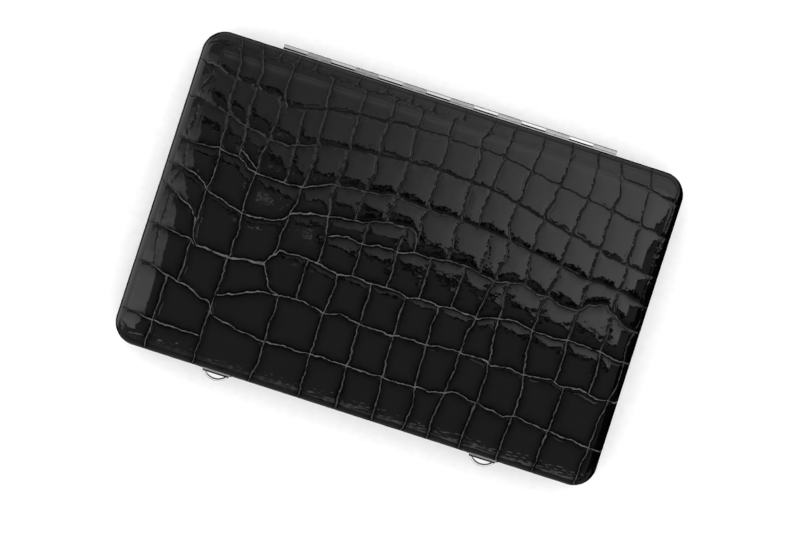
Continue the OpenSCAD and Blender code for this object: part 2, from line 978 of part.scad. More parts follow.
module nail_scissor_lower() {
    color([0.8, 0.8, 0.82])
        translate([nail_x * kit, 0, 0])
            scissor_half(-1, blade_z, nail_l, nail_ring_r * kit, nail_blade_w);
}

module nail_scissor_upper() {
    color([0.76, 0.76, 0.78])
        translate([nail_x * kit, 0, 0])
            scissor_half(1, upper_z, nail_l, nail_ring_r * kit, nail_blade_w);
}

module nail_scissor_screw() {
    color([0.88, 0.88, 0.9])
        translate([nail_x * kit, 0, 0])
            scissor_screw(nail_l);
}

module cuticle_scissor_lower() {
    color([0.8, 0.8, 0.82])
        at_cuticle()
            scissor_half(-1, blade_z, cuticle_l, cuticle_ring_r * kit, cuticle_blade_w);
}

module cuticle_scissor_upper() {
    color([0.76, 0.76, 0.78])
        at_cuticle()
            scissor_half(1, upper_z, cuticle_l, cuticle_ring_r * kit, cuticle_blade_w);
}

module cuticle_scissor_screw() {
    color([0.88, 0.88, 0.9])
        at_cuticle()
            scissor_screw(cuticle_l);
}

// Two bent strips welded together at one end, tapering to slanted tips
module tweezers() {
    y1 = tweezers_l / 2;
    z0 = tool_z;
    mid = tool_z + tweezers_h / 2;
    t = tweezers_t;
    w = tweezers_w * kit / 2;
    color([0.8, 0.8, 0.83])
        translate([tweezers_x * kit, 0, 0])
            intersection() {
                for (m = [0, 1])
                    translate([0, 0, mid])
                        mirror([0, 0, m])
                            translate([0, 0, -mid])
                                from_side(2 * w)
                                    polygon([
                                        [-y1, mid - t],
                                        [-0.9 * y1, mid - t],
                                        [-0.54 * y1, z0],
                                        [0.49 * y1, z0],
                                        [y1, mid - 0.1 - t],
                                        [y1, mid - 0.1],
                                        [0.49 * y1, z0 + t],
                                        [-0.54 * y1, z0 + t],
                                        [-0.9 * y1, mid],
                                        [-y1, mid]
                                    ]);
                plate(tool_z - cut, tweezers_h + 2 * cut)
                    polygon([
                        [0.7 * w, -y1],
                        [0.9 * w, -y1 / 2],
                        [w, -y1 / 5],
                        [w, y1 / 5],
                        [0.35 * w, 0.95 * y1],
                        [-0.35 * w, y1],
                        [-w, y1 / 5],
                        [-w, -y1 / 5],
                        [-0.9 * w, -y1 / 2],
                        [-0.7 * w, -y1]
                    ]);
            }
}

module at_clipper() {
    translate([clipper_x * kit, 0, 0])
        difference() {
            children();
            translate([0, clip_pin_y, tool_z - cut])
                cylinder(r = clip_pin_r + rivet_fit, h = clipper_h + 3 * cut);
        }
}

module clipper_lower_jaw() {
    y1 = clipper_l / 2;
    color([0.82, 0.82, 0.84])
        at_clipper()
            from_side(clipper_w * kit)
                polygon([
                    [-y1, tool_z],
                    [y1 - 0.8, tool_z],
                    [y1, tool_z + 0.5],
                    [y1, clip_lip],
                    [y1 - 0.7, clip_lip],
                    [y1 - 1.2, clip_low],
                    [-y1, clip_low]
                ]);
}

module clipper_upper_jaw() {
    y1 = clipper_l / 2;
    t = clipper_t;
    color([0.82, 0.82, 0.84])
        at_clipper()
            from_side(clipper_w * kit)
                polygon([
                    [-y1, clip_low],
                    [-0.74 * y1, clip_low],
                    [0.3 * y1, clip_rise - t],
                    [0.78 * y1, clip_rise - t],
                    [y1 - 0.7, clip_lip + 0.15],
                    [y1, clip_lip + 0.15],
                    [y1, clip_lip + 0.8],
                    [0.78 * y1, clip_rise],
                    [0.3 * y1, clip_rise],
                    [-0.74 * y1, clip_low + t],
                    [-y1, clip_low + t]
                ]);
}

module clipper_lever() {
    y1 = clipper_l / 2;
    t = clipper_t;
    color([0.86, 0.86, 0.88])
        at_clipper()
            from_side(0.83 * clipper_w * kit)
                polygon([
                    [-0.93 * y1, clip_top - t],
                    [0.56 * y1, clip_top - t],
                    [0.67 * y1, clip_rise + 0.1],
                    [0.85 * y1, clip_rise + 0.1],
                    [0.87 * y1, clip_rise + 0.6],
                    [0.74 * y1, clip_top],
                    [-0.93 * y1, clip_top]
                ]);
}

module clipper_pin() {
    color([0.7, 0.7, 0.72])
        translate([clipper_x * kit, clip_pin_y, tool_z]) {
            cylinder(r = clip_pin_r, h = clipper_h);
            translate([0, 0, clipper_h])
                cylinder(r1 = clip_pin_r + 0.4, r2 = clip_pin_r, h = 0.4);
        }
}

module lid_leather() {
    color([0.07, 0.07, 0.08])
        difference() {
            flip()
                half_leather();
            for (s = [-1, 1])
                at_catch(s)
                    nose_room();
        }
}

module lid_board() {
    color([0.62, 0.5, 0.36])
        difference() {
            flip()
                half_board();
            for (s = [-1, 1])
                at_catch(s)
                    nose_room();
        }
}

module lid_rim() {
    color([0.78, 0.78, 0.8])
        difference() {
            flip()
                half_rim();
            barrel_room();
            flip()
                hinge_rivet_holes(1);
            for (s = [-1, 1])
                at_catch(s)
                    latch_window();
        }
}

module lid_lining() {
    color([0.35, 0.05, 0.08])
        difference() {
            flip()
                half_lining();
            for (s = [-1, 1])
                at_catch(s)
                    nose_room();
        }
}

module lid_pad() {
    color([0.42, 0.07, 0.1])
        flip()
            translate([0, 0, room_in])
                panel();
}

module hinge_leaf_lid() {
    color([0.62, 0.62, 0.64])
        flip()
            leaf(1);
}

module hinge_rivets_lid() {
    color([0.82, 0.82, 0.84])
        flip()
            at_hinge_rivets(1)
                hinge_rivet();
}

base_leather();
base_board();
base_rim();
base_lining();
insert_panel();
hinge_leaf_base();
hinge_pin();
hinge_rivets_base();
catch_bezel_left();
catch_bezel_right();
catch_housing_left();
catch_housing_right();
catch_rivets();
catch_spring_left();
catch_spring_right();
button_left();
button_right();
latch_left();
latch_right();
tool_straps();
file_blade();
file_handle();
cuticle_pusher();
nail_scissor_lower();
nail_scissor_upper();
nail_scissor_screw();
tweezers();
clipper_lower_jaw();
clipper_upper_jaw();
clipper_lever();
clipper_pin();
cuticle_scissor_lower();
cuticle_scissor_upper();
cuticle_scissor_screw();
lid_leather();
lid_board();
lid_rim();
lid_lining();
lid_pad();
hinge_leaf_lid();
hinge_rivets_lid();
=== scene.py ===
"""Looks for the manicure set case: embossed patent leather, bright hinge and buttons, and the set inside.

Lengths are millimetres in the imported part's frame, and become metres in mesh_object() or with MM.
"""
import math

import bmesh
import bpy
import numpy as np
from mathutils import Matrix, Vector


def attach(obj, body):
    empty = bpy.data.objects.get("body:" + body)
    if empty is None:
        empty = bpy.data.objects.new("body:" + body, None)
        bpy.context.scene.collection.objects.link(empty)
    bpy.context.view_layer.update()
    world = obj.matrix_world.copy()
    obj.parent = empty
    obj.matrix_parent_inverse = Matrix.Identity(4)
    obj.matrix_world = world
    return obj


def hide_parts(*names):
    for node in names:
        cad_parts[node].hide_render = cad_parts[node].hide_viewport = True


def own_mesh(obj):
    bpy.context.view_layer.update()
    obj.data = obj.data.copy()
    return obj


MM = 0.001

# ---------- the case, in the part's own sizes ----------

CASE_L, CASE_W, CASE_H = 150.0, 97.6, 26.0
CORNER_R, EDGE_R = 7.0, 6.0
LEATHER_T = 0.9
CATCHES = (("left", -41.7), ("right", 41.7))
COVER_TOP = 9.85  # height of the cover's cut edge over its own face
CORNER_X, CORNER_Y = CASE_L / 2 - CORNER_R, CASE_W / 2 - CORNER_R
ROLL_START = CORNER_R - EDGE_R
ROLL_END = ROLL_START + EDGE_R * math.pi / 2
EDGE_END = ROLL_END + COVER_TOP - EDGE_R

# ---------- the embossing: rows of scales, seen from above ----------
# Each row line runs from -X to +X. The first and last lie on the side walls.

ROWS = [
    [(-84, 52), (-40, 51.4), (0, 52), (40, 51.2), (84, 52)],
    [(-75, 43), (-72, 45), (-62.5, 45.5), (-55, 45), (-47.5, 45.5), (-35.5, 45.5), (-25.5, 45),
     (-16, 45.5), (-6.5, 44.5), (3.5, 45), (14.5, 44), (21, 43.8), (30.5, 45), (39, 45), (47.5, 44.2),
     (55.5, 43.2), (65, 42.2), (72, 40.5), (75, 40)],
    [(-75, 38.8), (-70, 37.6), (-62.5, 36), (-55, 35.3), (-49, 34.6), (-45.5, 32.5), (-40, 33.7),
     (-34.5, 35.5), (-25, 37), (-16, 37.4), (-12, 38.3), (-5, 38.3), (1, 39), (5, 38.3), (13, 38.7),
     (20, 38.2), (30, 36.8), (38.5, 35.3), (48, 33.7), (56, 32.8), (65, 31.3), (75, 29.3)],
    [(-75, 27.5), (-71, 27.4), (-65, 26.3), (-60, 25), (-55, 23.5), (-50, 22.7), (-47, 22), (-41, 22),
     (-39, 22.9), (-33.5, 24.6), (-26, 26), (-15, 27.4), (-7, 28), (0, 28.6), (6, 28.3), (20, 27.9),
     (28, 26.2), (38, 24.1), (46, 22.4), (55, 20.8), (58, 19.6), (65, 18.5), (75, 17.6)],
    [(-75, 14.7), (-68, 14.5), (-61.5, 14.8), (-55, 14.3), (-51, 12), (-48.5, 11), (-40, 11.2),
     (-34.5, 11), (-30, 13), (-25.5, 15), (-18, 15.7), (-6.5, 17.2), (2.5, 16.4), (13, 16.2),
     (26, 15.4), (36, 13.7), (46.5, 12.4), (54.5, 10.6), (59, 10.9), (65, 10.6), (69, 9.8), (75, 8)],
    [(-75, 7), (-69, 6.3), (-65.5, 5.8), (-62, 3.5), (-59.5, 1.5), (-54, 0), (-48.5, -1.7), (-42, -1.2),
     (-37, 0), (-34.3, 3), (-29, 4.5), (-23.5, 5.6), (-17, 6.5), (-6.5, 9), (0.6, 9.6), (2.4, 8.2),
     (3.3, 6), (3.6, 3.2), (8, 2.7), (13, 3.9), (22, 3.6), (28, 2.1), (33, 3), (37, 3.9),
     (42, 2.5), (46.5, 2.6), (50, 1.3), (55.5, 1.4), (58, 4), (63, 5.3), (66, 3.4), (69, 1.4),
     (75, 0)],
    [(-75, 1.5), (-70, -1.2), (-66, -3.4), (-63, -4.8), (-61.6, -7), (-61, -10), (-60.2, -12.8),
     (-58.5, -14.4), (-48.5, -15), (-38, -13.6), (-34.6, -8.8), (-30, -8.3), (-23, -8.6),
     (-15.5, -10.3), (-12, -9.1), (-6, -9.8), (0, -9.5), (6, -10.4), (10, -9.3), (15, -10.1),
     (20, -9.1), (27, -9.9), (33, -8), (40, -7.4), (44, -8.5), (50, -8.5), (56, -8), (64, -7.9),
     (70, -9), (75, -9.2)],
    [(-75, -12), (-70, -12.3), (-61, -13.6), (-59, -14.7), (-48.5, -15.2), (-38, -13.9), (-36.5, -16),
     (-35, -19.8), (-31, -21.6), (-25.5, -20.9), (-20, -21.5), (-16.5, -22.4), (-12, -21.1),
     (-5, -22.3), (4.5, -22.3), (15.5, -22), (25.5, -21), (34, -21.1), (36, -22.1), (40, -21.1),
     (46, -21.5), (54, -20.8), (58, -21.4), (63, -20.9), (69, -22), (75, -21)],
    [(-75, -24.4), (-70, -24.1), (-64, -26), (-59, -26.8), (-50, -30), (-47.8, -33.3), (-38, -35),
     (-31, -35.7), (-17, -35.3), (-5, -35.3), (4.5, -35.4), (15.5, -35), (21, -34.8), (25, -33.8),
     (28, -33.1), (34, -34), (44, -35.3), (47, -34.4), (57, -35.3), (63, -35.7), (70, -36.5),
     (75, -36.3)],
    [(-84, -51.6), (-40, -52.2), (0, -51.5), (40, -52.3), (84, -51.8)],
]
# Where the creases between neighbouring scales cross the middle of each band of rows
TICKS = [
    [-74, -61, -50, -41, -27, -13, -2, 9, 22, 36, 47, 58, 71],
    [-64.5, -58, -52, -46.5, -40.8, -27.5, -19, -11, -3.6, 5.5, 15, 21.5, 30.5, 39, 47, 54.5, 63.8, 73],
    [-62.6, -55.6, -47.2, -34.7, -24.4, -15.2, -6.8, 2.8, 12.8, 20.5, 30.2, 39.5, 48.3, 56.5, 65,
     73.2],
    [-62.3, -55.9, -47.3, -40, -33.9, -24.3, -15.6, -6.4, 3.6, 13.8, 20.3, 29, 38.2, 47.2, 56,
     65.1, 72.6],
    [-61.1, -54.7, -48.2, -39.4, -33.3, -24.3, -15, -5.9, 3.5, 13.4, 19.2, 28, 36.6, 46.3, 55.7,
     65.4, 72.8],
    [-60.2, -49, -34.2, -25, -16, -7.1, 3.2, 13.6, 24, 30, 37.5, 46, 55.6, 65.2, 74],
    [-61, -48.3, -35.8, -22.7, -11.8, -1, 9.2, 19.3, 27.8, 33.2, 44.3, 55.2, 65.5, 72.6],
    [-25.7, -16, -5.5, 5.2, 15.4, 26, 34, 44.5, 55.4, 66, 73.6],
    [-60.7, -48.7, -30.8, -16.7, -5.3, 5.4, 15.5, 25.6, 35.4, 47, 58.3, 71.2],
    [-64.3, -49.3, -30.8, -16.4, -4.7, 6.6, 17, 24, 34, 45.6, 57, 70.3],
    [-70, -57, -44, -33, -21, -8, 3, 15, 28, 39, 51, 66],
]
# Short row lines that split single scales, each with the band that it lies in
BRANCHES = [
    (6, [(-22.6, 0), (-17, 1.2), (-12.5, 0.5), (-7, 1.6), (-1, 1.6), (3.6, 3.2)]),
    (8, [(-48.2, -26.9), (-44, -25.3), (-37, -22.1), (-31, -21.6)]),
    (9, [(-75, -39), (-68, -39.2), (-62, -40), (-50, -40)]),
    (4, [(-54.7, 16.6), (-48.5, 12.4)]),
]
# Creases that run down through several rows on the rolled edge at -X
UPRIGHTS = [
    [(-71, 38), (-69.6, 35), (-71.2, 32), (-71.2, 26), (-70.7, 22.5), (-71.5, 18), (-71, 14),
     (-69.5, 7), (-71.2, 2), (-71, -7), (-70.7, -11.5), (-71, -14.5), (-70.2, -18.5), (-68.6, -24)],
]

FAR = 1e9  # further than any crease
STEEPEST = 0.995  # lines follow the rolled edge no further than where its sine is this
PATTERN_END = 58.0
# The sines in a wave: their directions, how much finer each is, and their starts
WAVE_TURNS, WAVE_FINER, WAVE_PHASE, SEED_PHASE, WAVE_LEVEL = (0.4, 1.3, 2.5, 3.4), 0.31, 2.1, 5, 3

# In what follows, a pair (places, values) is a ramp between them, and a triple (size, wavelength,
# shift) is a wave.
ROW_DEPTH, TICK_DEPTH, CREASE_W = 0.22, 0.19, 0.27  # creases along the rows and across them
DEPTH_MEAN, DEPTH_WAVE = 0.85, (0.25, 23.0, 2)
WIDTH_MEAN, WIDTH_WAVE = 1.0, (0.2, 11.0, 3)
SHALLOWER = ((5, 18), (1.0, 0.5))  # the creases' depth, by how far behind PALE_LINE
FAINT_ROW, FAINT_SPAN, FAINT = 1, (-8, 2, 50, 58), 0.28  # a row line that is hardly pressed in
FAINT_REACH = 2.0
TICK_REACH = 2.6  # creases of neighbouring bands that are this close meet at the row line
SCALE_CORNER_R = 1.6
FOLD_PLACE, FOLD_W, FOLD_DEPTH = 0.95, 0.28, 0.025  # fine wrinkles beside the creases
FOLD_WAVE, FOLD_SHOWN = (1.0, 13.0, 4), 0.1
DOME_RUN = 4.4  # how far in from its creases a scale becomes level
DOMES = ((-22, -12, -6.5, 24, 30, 40, 46), (0.075, 0.1, 0.13, 0.13, 0.085, 0.06, 0.05))
DOME_ACROSS, DOME_EARLY = ((-30, 0), (1.9, 1.0)), 1.1  # scales at -X level out sooner along a row
DOME_POWER, DOME_LEAST = -3, 0.01
LOW_DOME, LOW_RUN = 0.018, 3.5  # what a scale drops more towards its lower edge
FADE_START, FADE_RUN, FADE_LEFT = 4.5, 5.0, 0.2  # of the relief, towards the outline
SHOULDER, SHOULDER_RUN = 0.14, 1.5  # the leather sinks before it rolls over the edge
SWELL, SWELL_WAVE = 0.012, (0.012, 31.0, 5)
EDGE_FOLDS = [(-44.9, 0.5), (-46.9, 0.45), (-48.6, 0.5)]  # along the front, each (place, width)
EDGE_FOLD_DEPTH = 0.1
EDGE_FOLD_WAVE, EDGE_FOLD_GAPS, EDGE_FOLD_SHOWN = (0.5, 19.0, 6), (1.0, 27.0, 7.3), 0.35
CRUMPLE, CRUMPLE_PLACE, CRUMPLE_W = ((-60, 60), (0.08, 0.22)), -45.3, 1.7
CRUMPLE_WAVES = [(1.4, (0.7, 8.3, 10)), (1.6, (0.45, 3.1, 11))]  # each with its stretch across
LID_STEP, BASE_STEP, WALL_STEP, INNER_RINGS = 0.16, 0.5, 0.45, 14
LID_SEED, BASE_SEED = 0.0, 3.3
WARPS, WARP_TURN = [(0.28, 9.0, 0.3), (0.14, 4.3, 1.9), (0.06, 1.9, 4.1)], 0.7

# The vertex attributes that the leather's material reads: how far a crease is, how pale the creases are
# painted there as a painted reflection, and how glossy the leather is, less in patches of painted shade
CREASE, PALE, GLOSS = "crease", "pale", "gloss"
PLAIN_LOOKS = (9.0, 0.0, 1.0)
PALE_LINE = ((-75, -55, -9, 55, 75), (24, 19, 6.5, -3, -5))  # creases are painted pale in front of it, a painted reflection
PALE_RUN, PALE_START = 14.0, 0.6
PALE_ROW, PALE_TICK = ((8, 18), (0.38, 0.06)), ((-40, 10), (0.5, 0.1))  # the least at the back
PALE_EDGE, PALE_ACROSS = ((-70, -66), (0.12, 1.0)), 0.6
# Patches of painted shade over a row line, where the shine is cut: how far they reach, their soft ends
# and how ragged they are
PAINTED_SHADE_REACH, PAINTED_SHADE_SOFT, PAINTED_SHADE_RIM, PAINTED_SHADE_RIM_SOFT = 1.9, 0.35, 0.75, 0.3
PAINTED_SHADE_RAGGED, PAINTED_SHADE_CORNER = 0.8, 1.6
PAINTED_SHADE_WAVES = [(0.7, 5.1, 8), (0.5, 1.9, 9), (0.2, 0.8, 0)]
PAINTED_SHADE_ROWS, PAINTED_SHADE_ACROSS = ((-3, 2, 17, 23), (0, 1, 1, 0)), ((-36, -14), (0, 1))


def unroll(v, half):
    """Turns a distance seen from above into one along the leather, for lines near a rolled edge."""
    start = half - EDGE_R
    past = max(abs(v) - start, 0.0)
    if past == 0 or abs(v) > half:
        return v
    return math.copysign(start + EDGE_R * math.asin(min(past / EDGE_R, STEEPEST)), v)


def unrolled(points):
    return np.array([(unroll(x, CASE_L / 2), unroll(y, CASE_W / 2)) for x, y in points], float)


def waves(u, v, wavelength, seed):
    """A smooth field between about -1 and 1 that wanders in both directions."""
    k = 2 * math.pi / wavelength
    total = np.zeros_like(u)
    for i, turn in enumerate(WAVE_TURNS):
        a, b = math.cos(turn + seed), math.sin(turn + seed)
        finer = 1 + WAVE_FINER * i
        total += np.sin(k * finer * (a * u + b * v) + WAVE_PHASE * i + SEED_PHASE * seed)
    return total / WAVE_LEVEL


def wave(u, v, seed, size, wavelength, shift):
    """Waves of a given size. The shift keeps them apart from others with the same seed."""
    return size * waves(u, v, wavelength, seed + shift)


def height_at(curve, x):
    return np.interp(x, curve[:, 0], curve[:, 1])


def nearest(values, x):
    """Where a crease at x meets the row line: halfway to a crease beyond it that is close by."""
    near = min(values, key=lambda v: abs(v - x))
    return (near + x) / 2 if abs(near - x) < TICK_REACH else x


def tick_curves(curves):
    """For each band, its ticks as short curves that meet those of the bands above and below."""
    bands = []
    for k, xs in enumerate(TICKS):
        found = []
        for x in xs:
            top = nearest(TICKS[k - 1], x) if k > 0 else x
            low = nearest(TICKS[k + 1], x) if k + 1 < len(TICKS) else x
            top, mid, low = (unroll(t, CASE_L / 2) for t in (top, x, low))
            y1 = height_at(curves[k - 1], top) if k > 0 else PATTERN_END
            y0 = height_at(curves[k], low) if k < len(curves) else -PATTERN_END
            found.append(np.array([(top, y1), (mid, (y1 + y0) / 2), (low, y0)]))
        bands.append(found)
    return bands


def distance(u, v, curve):
    """How far each point is from a curve of straight pieces."""
    best = np.full(u.shape, FAR)
    for (ax, ay), (bx, by) in zip(curve[:-1], curve[1:]):
        dx, dy = bx - ax, by - ay
        along = ((u - ax) * dx + (v - ay) * dy) / (dx * dx + dy * dy)
        along = np.clip(along, 0, 1)
        best = np.minimum(best, np.hypot(u - ax - along * dx, v - ay - along * dy))
    return best


def band_of(u, v, curves):
    """How many row lines lie further back than each point."""
    index = np.zeros(u.shape, int)
    for curve in curves:
        index += v < height_at(curve, u)
    return index


def crease_distances(u, v):
    """Distances from the nearest row line, the nearest crease across a row and the line below."""
    curves = [unrolled(points) for points in ROWS]
    ticks = tick_curves(curves)
    index = band_of(u, v, curves)
    to_row, to_tick, to_low = (np.full(u.shape, FAR) for _ in range(3))
    for k in range(len(TICKS)):
        here = index == k
        a, b = u[here], v[here]
        rows = curves[max(k - 1, 0):k + 1]
        rows = rows + [unrolled(line) for band, line in BRANCHES if band == k]
        ways = ticks[k] + [unrolled(line) for line in UPRIGHTS]
        to_row[here] = np.min([distance(a, b, c) for c in rows], axis=0)
        if k in (FAINT_ROW, FAINT_ROW + 1):
            faint = FAINT * np.interp(a, FAINT_SPAN, (0, 1, 1, 0))
            to_row[here] += faint * (to_row[here] < FAINT_REACH)
        to_tick[here] = np.min([distance(a, b, c) for c in ways], axis=0)
        if k < len(curves):
            to_low[here] = distance(a, b, curves[k])
    return to_row, to_tick, to_low


def pressed(u, v, seed, to_row, to_tick):
    """How deep the creases are, and the fine wrinkles beside them."""
    r = SCALE_CORNER_R
    line = np.minimum(to_row, to_tick)
    inner = r - np.hypot(np.maximum(r - to_row, 0), np.maximum(r - to_tick, 0))
    near = np.maximum(np.minimum(line, np.where(line < r, inner, FAR)), 0)
    depth = np.where(to_row < to_tick, ROW_DEPTH, TICK_DEPTH)
    depth = depth * (DEPTH_MEAN + wave(u, v, seed, *DEPTH_WAVE))
    depth *= np.interp(behind_pale_line(u, v), *SHALLOWER)
    width = CREASE_W * (WIDTH_MEAN + wave(u, v, seed, *WIDTH_WAVE))
    shown = np.clip(wave(u, v, seed, *FOLD_WAVE) + FOLD_SHOWN, 0, 1)
    fold = FOLD_DEPTH * shown * np.exp(-(((near - FOLD_PLACE) / FOLD_W) ** 2))
    return depth * np.exp(-((near / width) ** 2)), fold


def domed(u, v, to_row, to_tick, to_low):
    """How much a scale drops from its middle towards its edges."""
    share = np.interp(u, *DOME_ACROSS)
    along = share * to_tick + DOME_EARLY * (share - 1)
    middle = np.maximum(to_row, DOME_LEAST) ** DOME_POWER + np.maximum(along, DOME_LEAST) ** DOME_POWER
    middle = middle ** (1 / DOME_POWER)
    dome = np.interp(v, *DOMES) * np.clip(1 - middle / DOME_RUN, 0, 1) ** 2
    return dome + LOW_DOME * np.clip(1 - to_low / LOW_RUN, 0, 1) ** 2


def embossing(u, v, seed):
    """How far the leather lies over its plain surface at unrolled places, and its three looks."""
    x, y = u.copy(), v.copy()
    for size, wavelength, shift in WARPS:
        x += wave(u, v, seed, size, wavelength, shift)
        y += wave(u, v, seed, size, wavelength, shift + WARP_TURN)
    to_row, to_tick, to_low = crease_distances(x, y)
    crease, fold = pressed(u, v, seed, to_row, to_tick)
    dome = domed(u, v, to_row, to_tick, to_low)
    lift = wave(u, v, seed, *SWELL_WAVE) - SWELL - crease - fold - dome - rolled_edge(u, v, seed)
    looks = (np.minimum(to_row, to_tick), paleness(u, v, to_row < to_tick),
             glossiness(u, v, to_low, to_tick, seed))
    return lift * outline_fade(u, v), looks


def behind_pale_line(u, v):
    """How far a place lies behind the line in front of which the creases are painted pale."""
    return v - np.interp(u, *PALE_LINE)


def paleness(u, v, on_row):
    """How pale the creases are painted, a painted reflection: most at the front, least at the back and on
    the edge at -X.
    """
    past = behind_pale_line(u, v)
    back = np.clip(past / PALE_RUN + PALE_START, 0, 1)
    least = np.where(on_row, np.interp(past, *PALE_ROW), np.interp(u, *PALE_TICK))
    return (1 - (1 - least) * back) * np.interp(u, *PALE_EDGE) * np.where(on_row, 1, PALE_ACROSS)


def glossiness(u, v, to_low, to_tick, seed):
    """Less than 1 in ragged patches of painted shade along the lower edges of the middle rows of scales.
    """
    ragged = sum(wave(u, v, seed, *part) for part in PAINTED_SHADE_WAVES)
    reach = PAINTED_SHADE_REACH * (1 + PAINTED_SHADE_RAGGED * ragged) * np.clip(to_tick / PAINTED_SHADE_CORNER, 0, 1) ** 0.5
    rim = np.clip((to_low - PAINTED_SHADE_RIM) / PAINTED_SHADE_RIM_SOFT, 0, 1)
    patch = np.clip((reach - to_low) / PAINTED_SHADE_SOFT, 0, 1) * rim
    rows = np.interp(behind_pale_line(u, v), *PAINTED_SHADE_ROWS)
    return 1 - patch * rows * np.interp(u, *PAINTED_SHADE_ACROSS)


def outline_fade(u, v):
    """Holds the relief back towards the case's outline, which keeps its size."""
    past = np.hypot(np.maximum(np.abs(u) - CORNER_X, 0), np.maximum(np.abs(v) - CORNER_Y, 0))
    t = np.clip((past - FADE_START) / FADE_RUN, 0, 1)
    return 1 - (1 - FADE_LEFT) * t * t * (3 - 2 * t)


def rolled_edge(u, v, seed):
    """The leather's shoulder before the rolled edge, and the folds along the front of that edge."""
    inside = np.minimum(CASE_L / 2 - EDGE_R - np.abs(u), CASE_W / 2 - EDGE_R - np.abs(v))
    sunk = SHOULDER * np.exp(-np.maximum(inside, 0) / SHOULDER_RUN)
    size, wavelength, shift = EDGE_FOLD_WAVE
    most, gap, gap_shift = EDGE_FOLD_GAPS
    for i, (place, width) in enumerate(EDGE_FOLDS):
        line = place + wave(u, v, seed, size, wavelength, shift + i)
        shown = np.clip(wave(u, v, seed, most, gap, gap_shift * i) + EDGE_FOLD_SHOWN, 0, 1)
        sunk = sunk + EDGE_FOLD_DEPTH * shown * np.exp(-(((v - line) / width) ** 2))
    crumpled = sum(wave(u, stretch * v, seed, *part) for stretch, part in CRUMPLE_WAVES)
    front = np.exp(-(((v - CRUMPLE_PLACE) / CRUMPLE_W) ** 2))
    return sunk + np.interp(u, *CRUMPLE) * (crumpled + 1) * front


# ---------- meshes ----------

def mesh_object(name, verts, quads, caps=(), smooth=True):
    """A mesh from points in millimetres, rows of four corners and any faces with more corners."""
    mesh = bpy.data.meshes.new(name)
    quads = np.asarray(quads, int).reshape(-1, 4)
    corners = np.concatenate([quads.ravel(), *caps])
    sizes = np.array([4] * len(quads) + [len(cap) for cap in caps])
    mesh.vertices.add(len(verts))
    mesh.vertices.foreach_set("co", (np.asarray(verts) * MM).astype(np.float32).ravel())
    mesh.loops.add(len(corners))
    mesh.loops.foreach_set("vertex_index", corners.astype(np.int32))
    mesh.polygons.add(len(sizes))
    mesh.polygons.foreach_set("loop_start", (np.cumsum(sizes) - sizes).astype(np.int32))
    mesh.polygons.foreach_set("use_smooth", np.full(len(sizes), smooth))
    mesh.update(calc_edges=True)
    mesh.validate()
    obj = bpy.data.objects.new(name, mesh)
    bpy.context.scene.collection.objects.link(obj)
    return obj


def weld(obj, reach=0.004):
    """Joins the points where two parts of a mesh meet, and turns its faces outwards."""
    work = bmesh.new()
    work.from_mesh(obj.data)
    bmesh.ops.remove_doubles(work, verts=work.verts, dist=reach * MM)
    bmesh.ops.recalc_face_normals(work, faces=work.faces)
    work.to_mesh(obj.data)
    work.free()


def grid_faces(rows, cols, first, closed=False):
    """Quads between the points of a grid that is stored row by row."""
    i, j = np.meshgrid(np.arange(rows - 1), np.arange(cols if closed else cols - 1), indexing="ij")
    a = (first + i * cols + j).ravel()
    b = (first + i * cols + (j + 1) % cols).ravel()
    return np.stack([a, b, b + cols, a + cols], axis=-1)


def span(half, step):
    return np.linspace(-half, half, int(round(2 * half / step)) + 1)


def perimeter(half_x, half_y, radius, step):
    """Points round a flat rectangle, each with the direction outwards, fanned out at its corners."""
    xs, ys = span(half_x, step), span(half_y, step)
    turns = np.linspace(0, math.pi / 2, int(radius * math.pi / 2 / step) + 2)[1:-1]
    places, ways = [], []

    def side(points, way):
        for point in points:
            places.append(point)
            ways.append(way)

    def corner(x, y, start):
        for t in turns:
            places.append((x, y))
            ways.append((math.cos(start + t), math.sin(start + t)))

    side([(x, -half_y) for x in xs], (0, -1))
    corner(half_x, -half_y, -math.pi / 2)
    side([(half_x, y) for y in ys], (1, 0))
    corner(half_x, half_y, 0)
    side([(x, half_y) for x in xs[::-1]], (0, 1))
    corner(-half_x, half_y, math.pi / 2)
    side([(-half_x, y) for y in ys[::-1]], (-1, 0))
    corner(-half_x, -half_y, math.pi)
    return np.array(places), np.array(ways)


def outward(places, ways, out):
    """X and Y of the places when they are moved outwards, a row for each distance."""
    return [places[None, :, axis] + out * ways[None, :, axis] for axis in range(2)]


def ring_points(places, ways, out, z):
    """Rows of points at growing distances from the places, each row with its heights."""
    x, y = outward(places, ways, out)
    return np.stack([x, y, z + 0 * x], axis=-1).reshape(-1, 3)


def roll(s, inset):
    """A cover's section: how far out, how deep and which way it faces, at a length along it."""
    turn = np.clip((s - ROLL_START) / EDGE_R, 0, math.pi / 2)
    r = EDGE_R - inset
    out = np.minimum(s, ROLL_START) + r * np.sin(turn)
    deep = inset + r * (1 - np.cos(turn)) + np.maximum(s - ROLL_END, 0)
    return out, deep, np.sin(turn), -np.cos(turn)


def section_lengths(step):
    """Places down a cover's section: fine over the rolled edge and coarser down its wall."""
    return np.concatenate([
        np.linspace(0, ROLL_END, int(round(ROLL_END / step)) + 1),
        np.arange(ROLL_END + WALL_STEP, EDGE_END - WALL_STEP / 2, WALL_STEP),
        [EDGE_END],
    ])[:, None]


def keep_looks(obj, top_looks, wall_looks):
    """Stores the looks of the leather as attributes; the points that follow are plain."""
    for label, top, wall, plain_look in zip((CREASE, PALE, GLOSS), top_looks, wall_looks, PLAIN_LOOKS):
        values = np.full(len(obj.data.vertices), plain_look, np.float32)
        values[:top.size + wall.size] = np.concatenate([top.ravel(), wall.ravel()])
        obj.data.attributes.new(label, "FLOAT", "POINT").data.foreach_set("value", values)


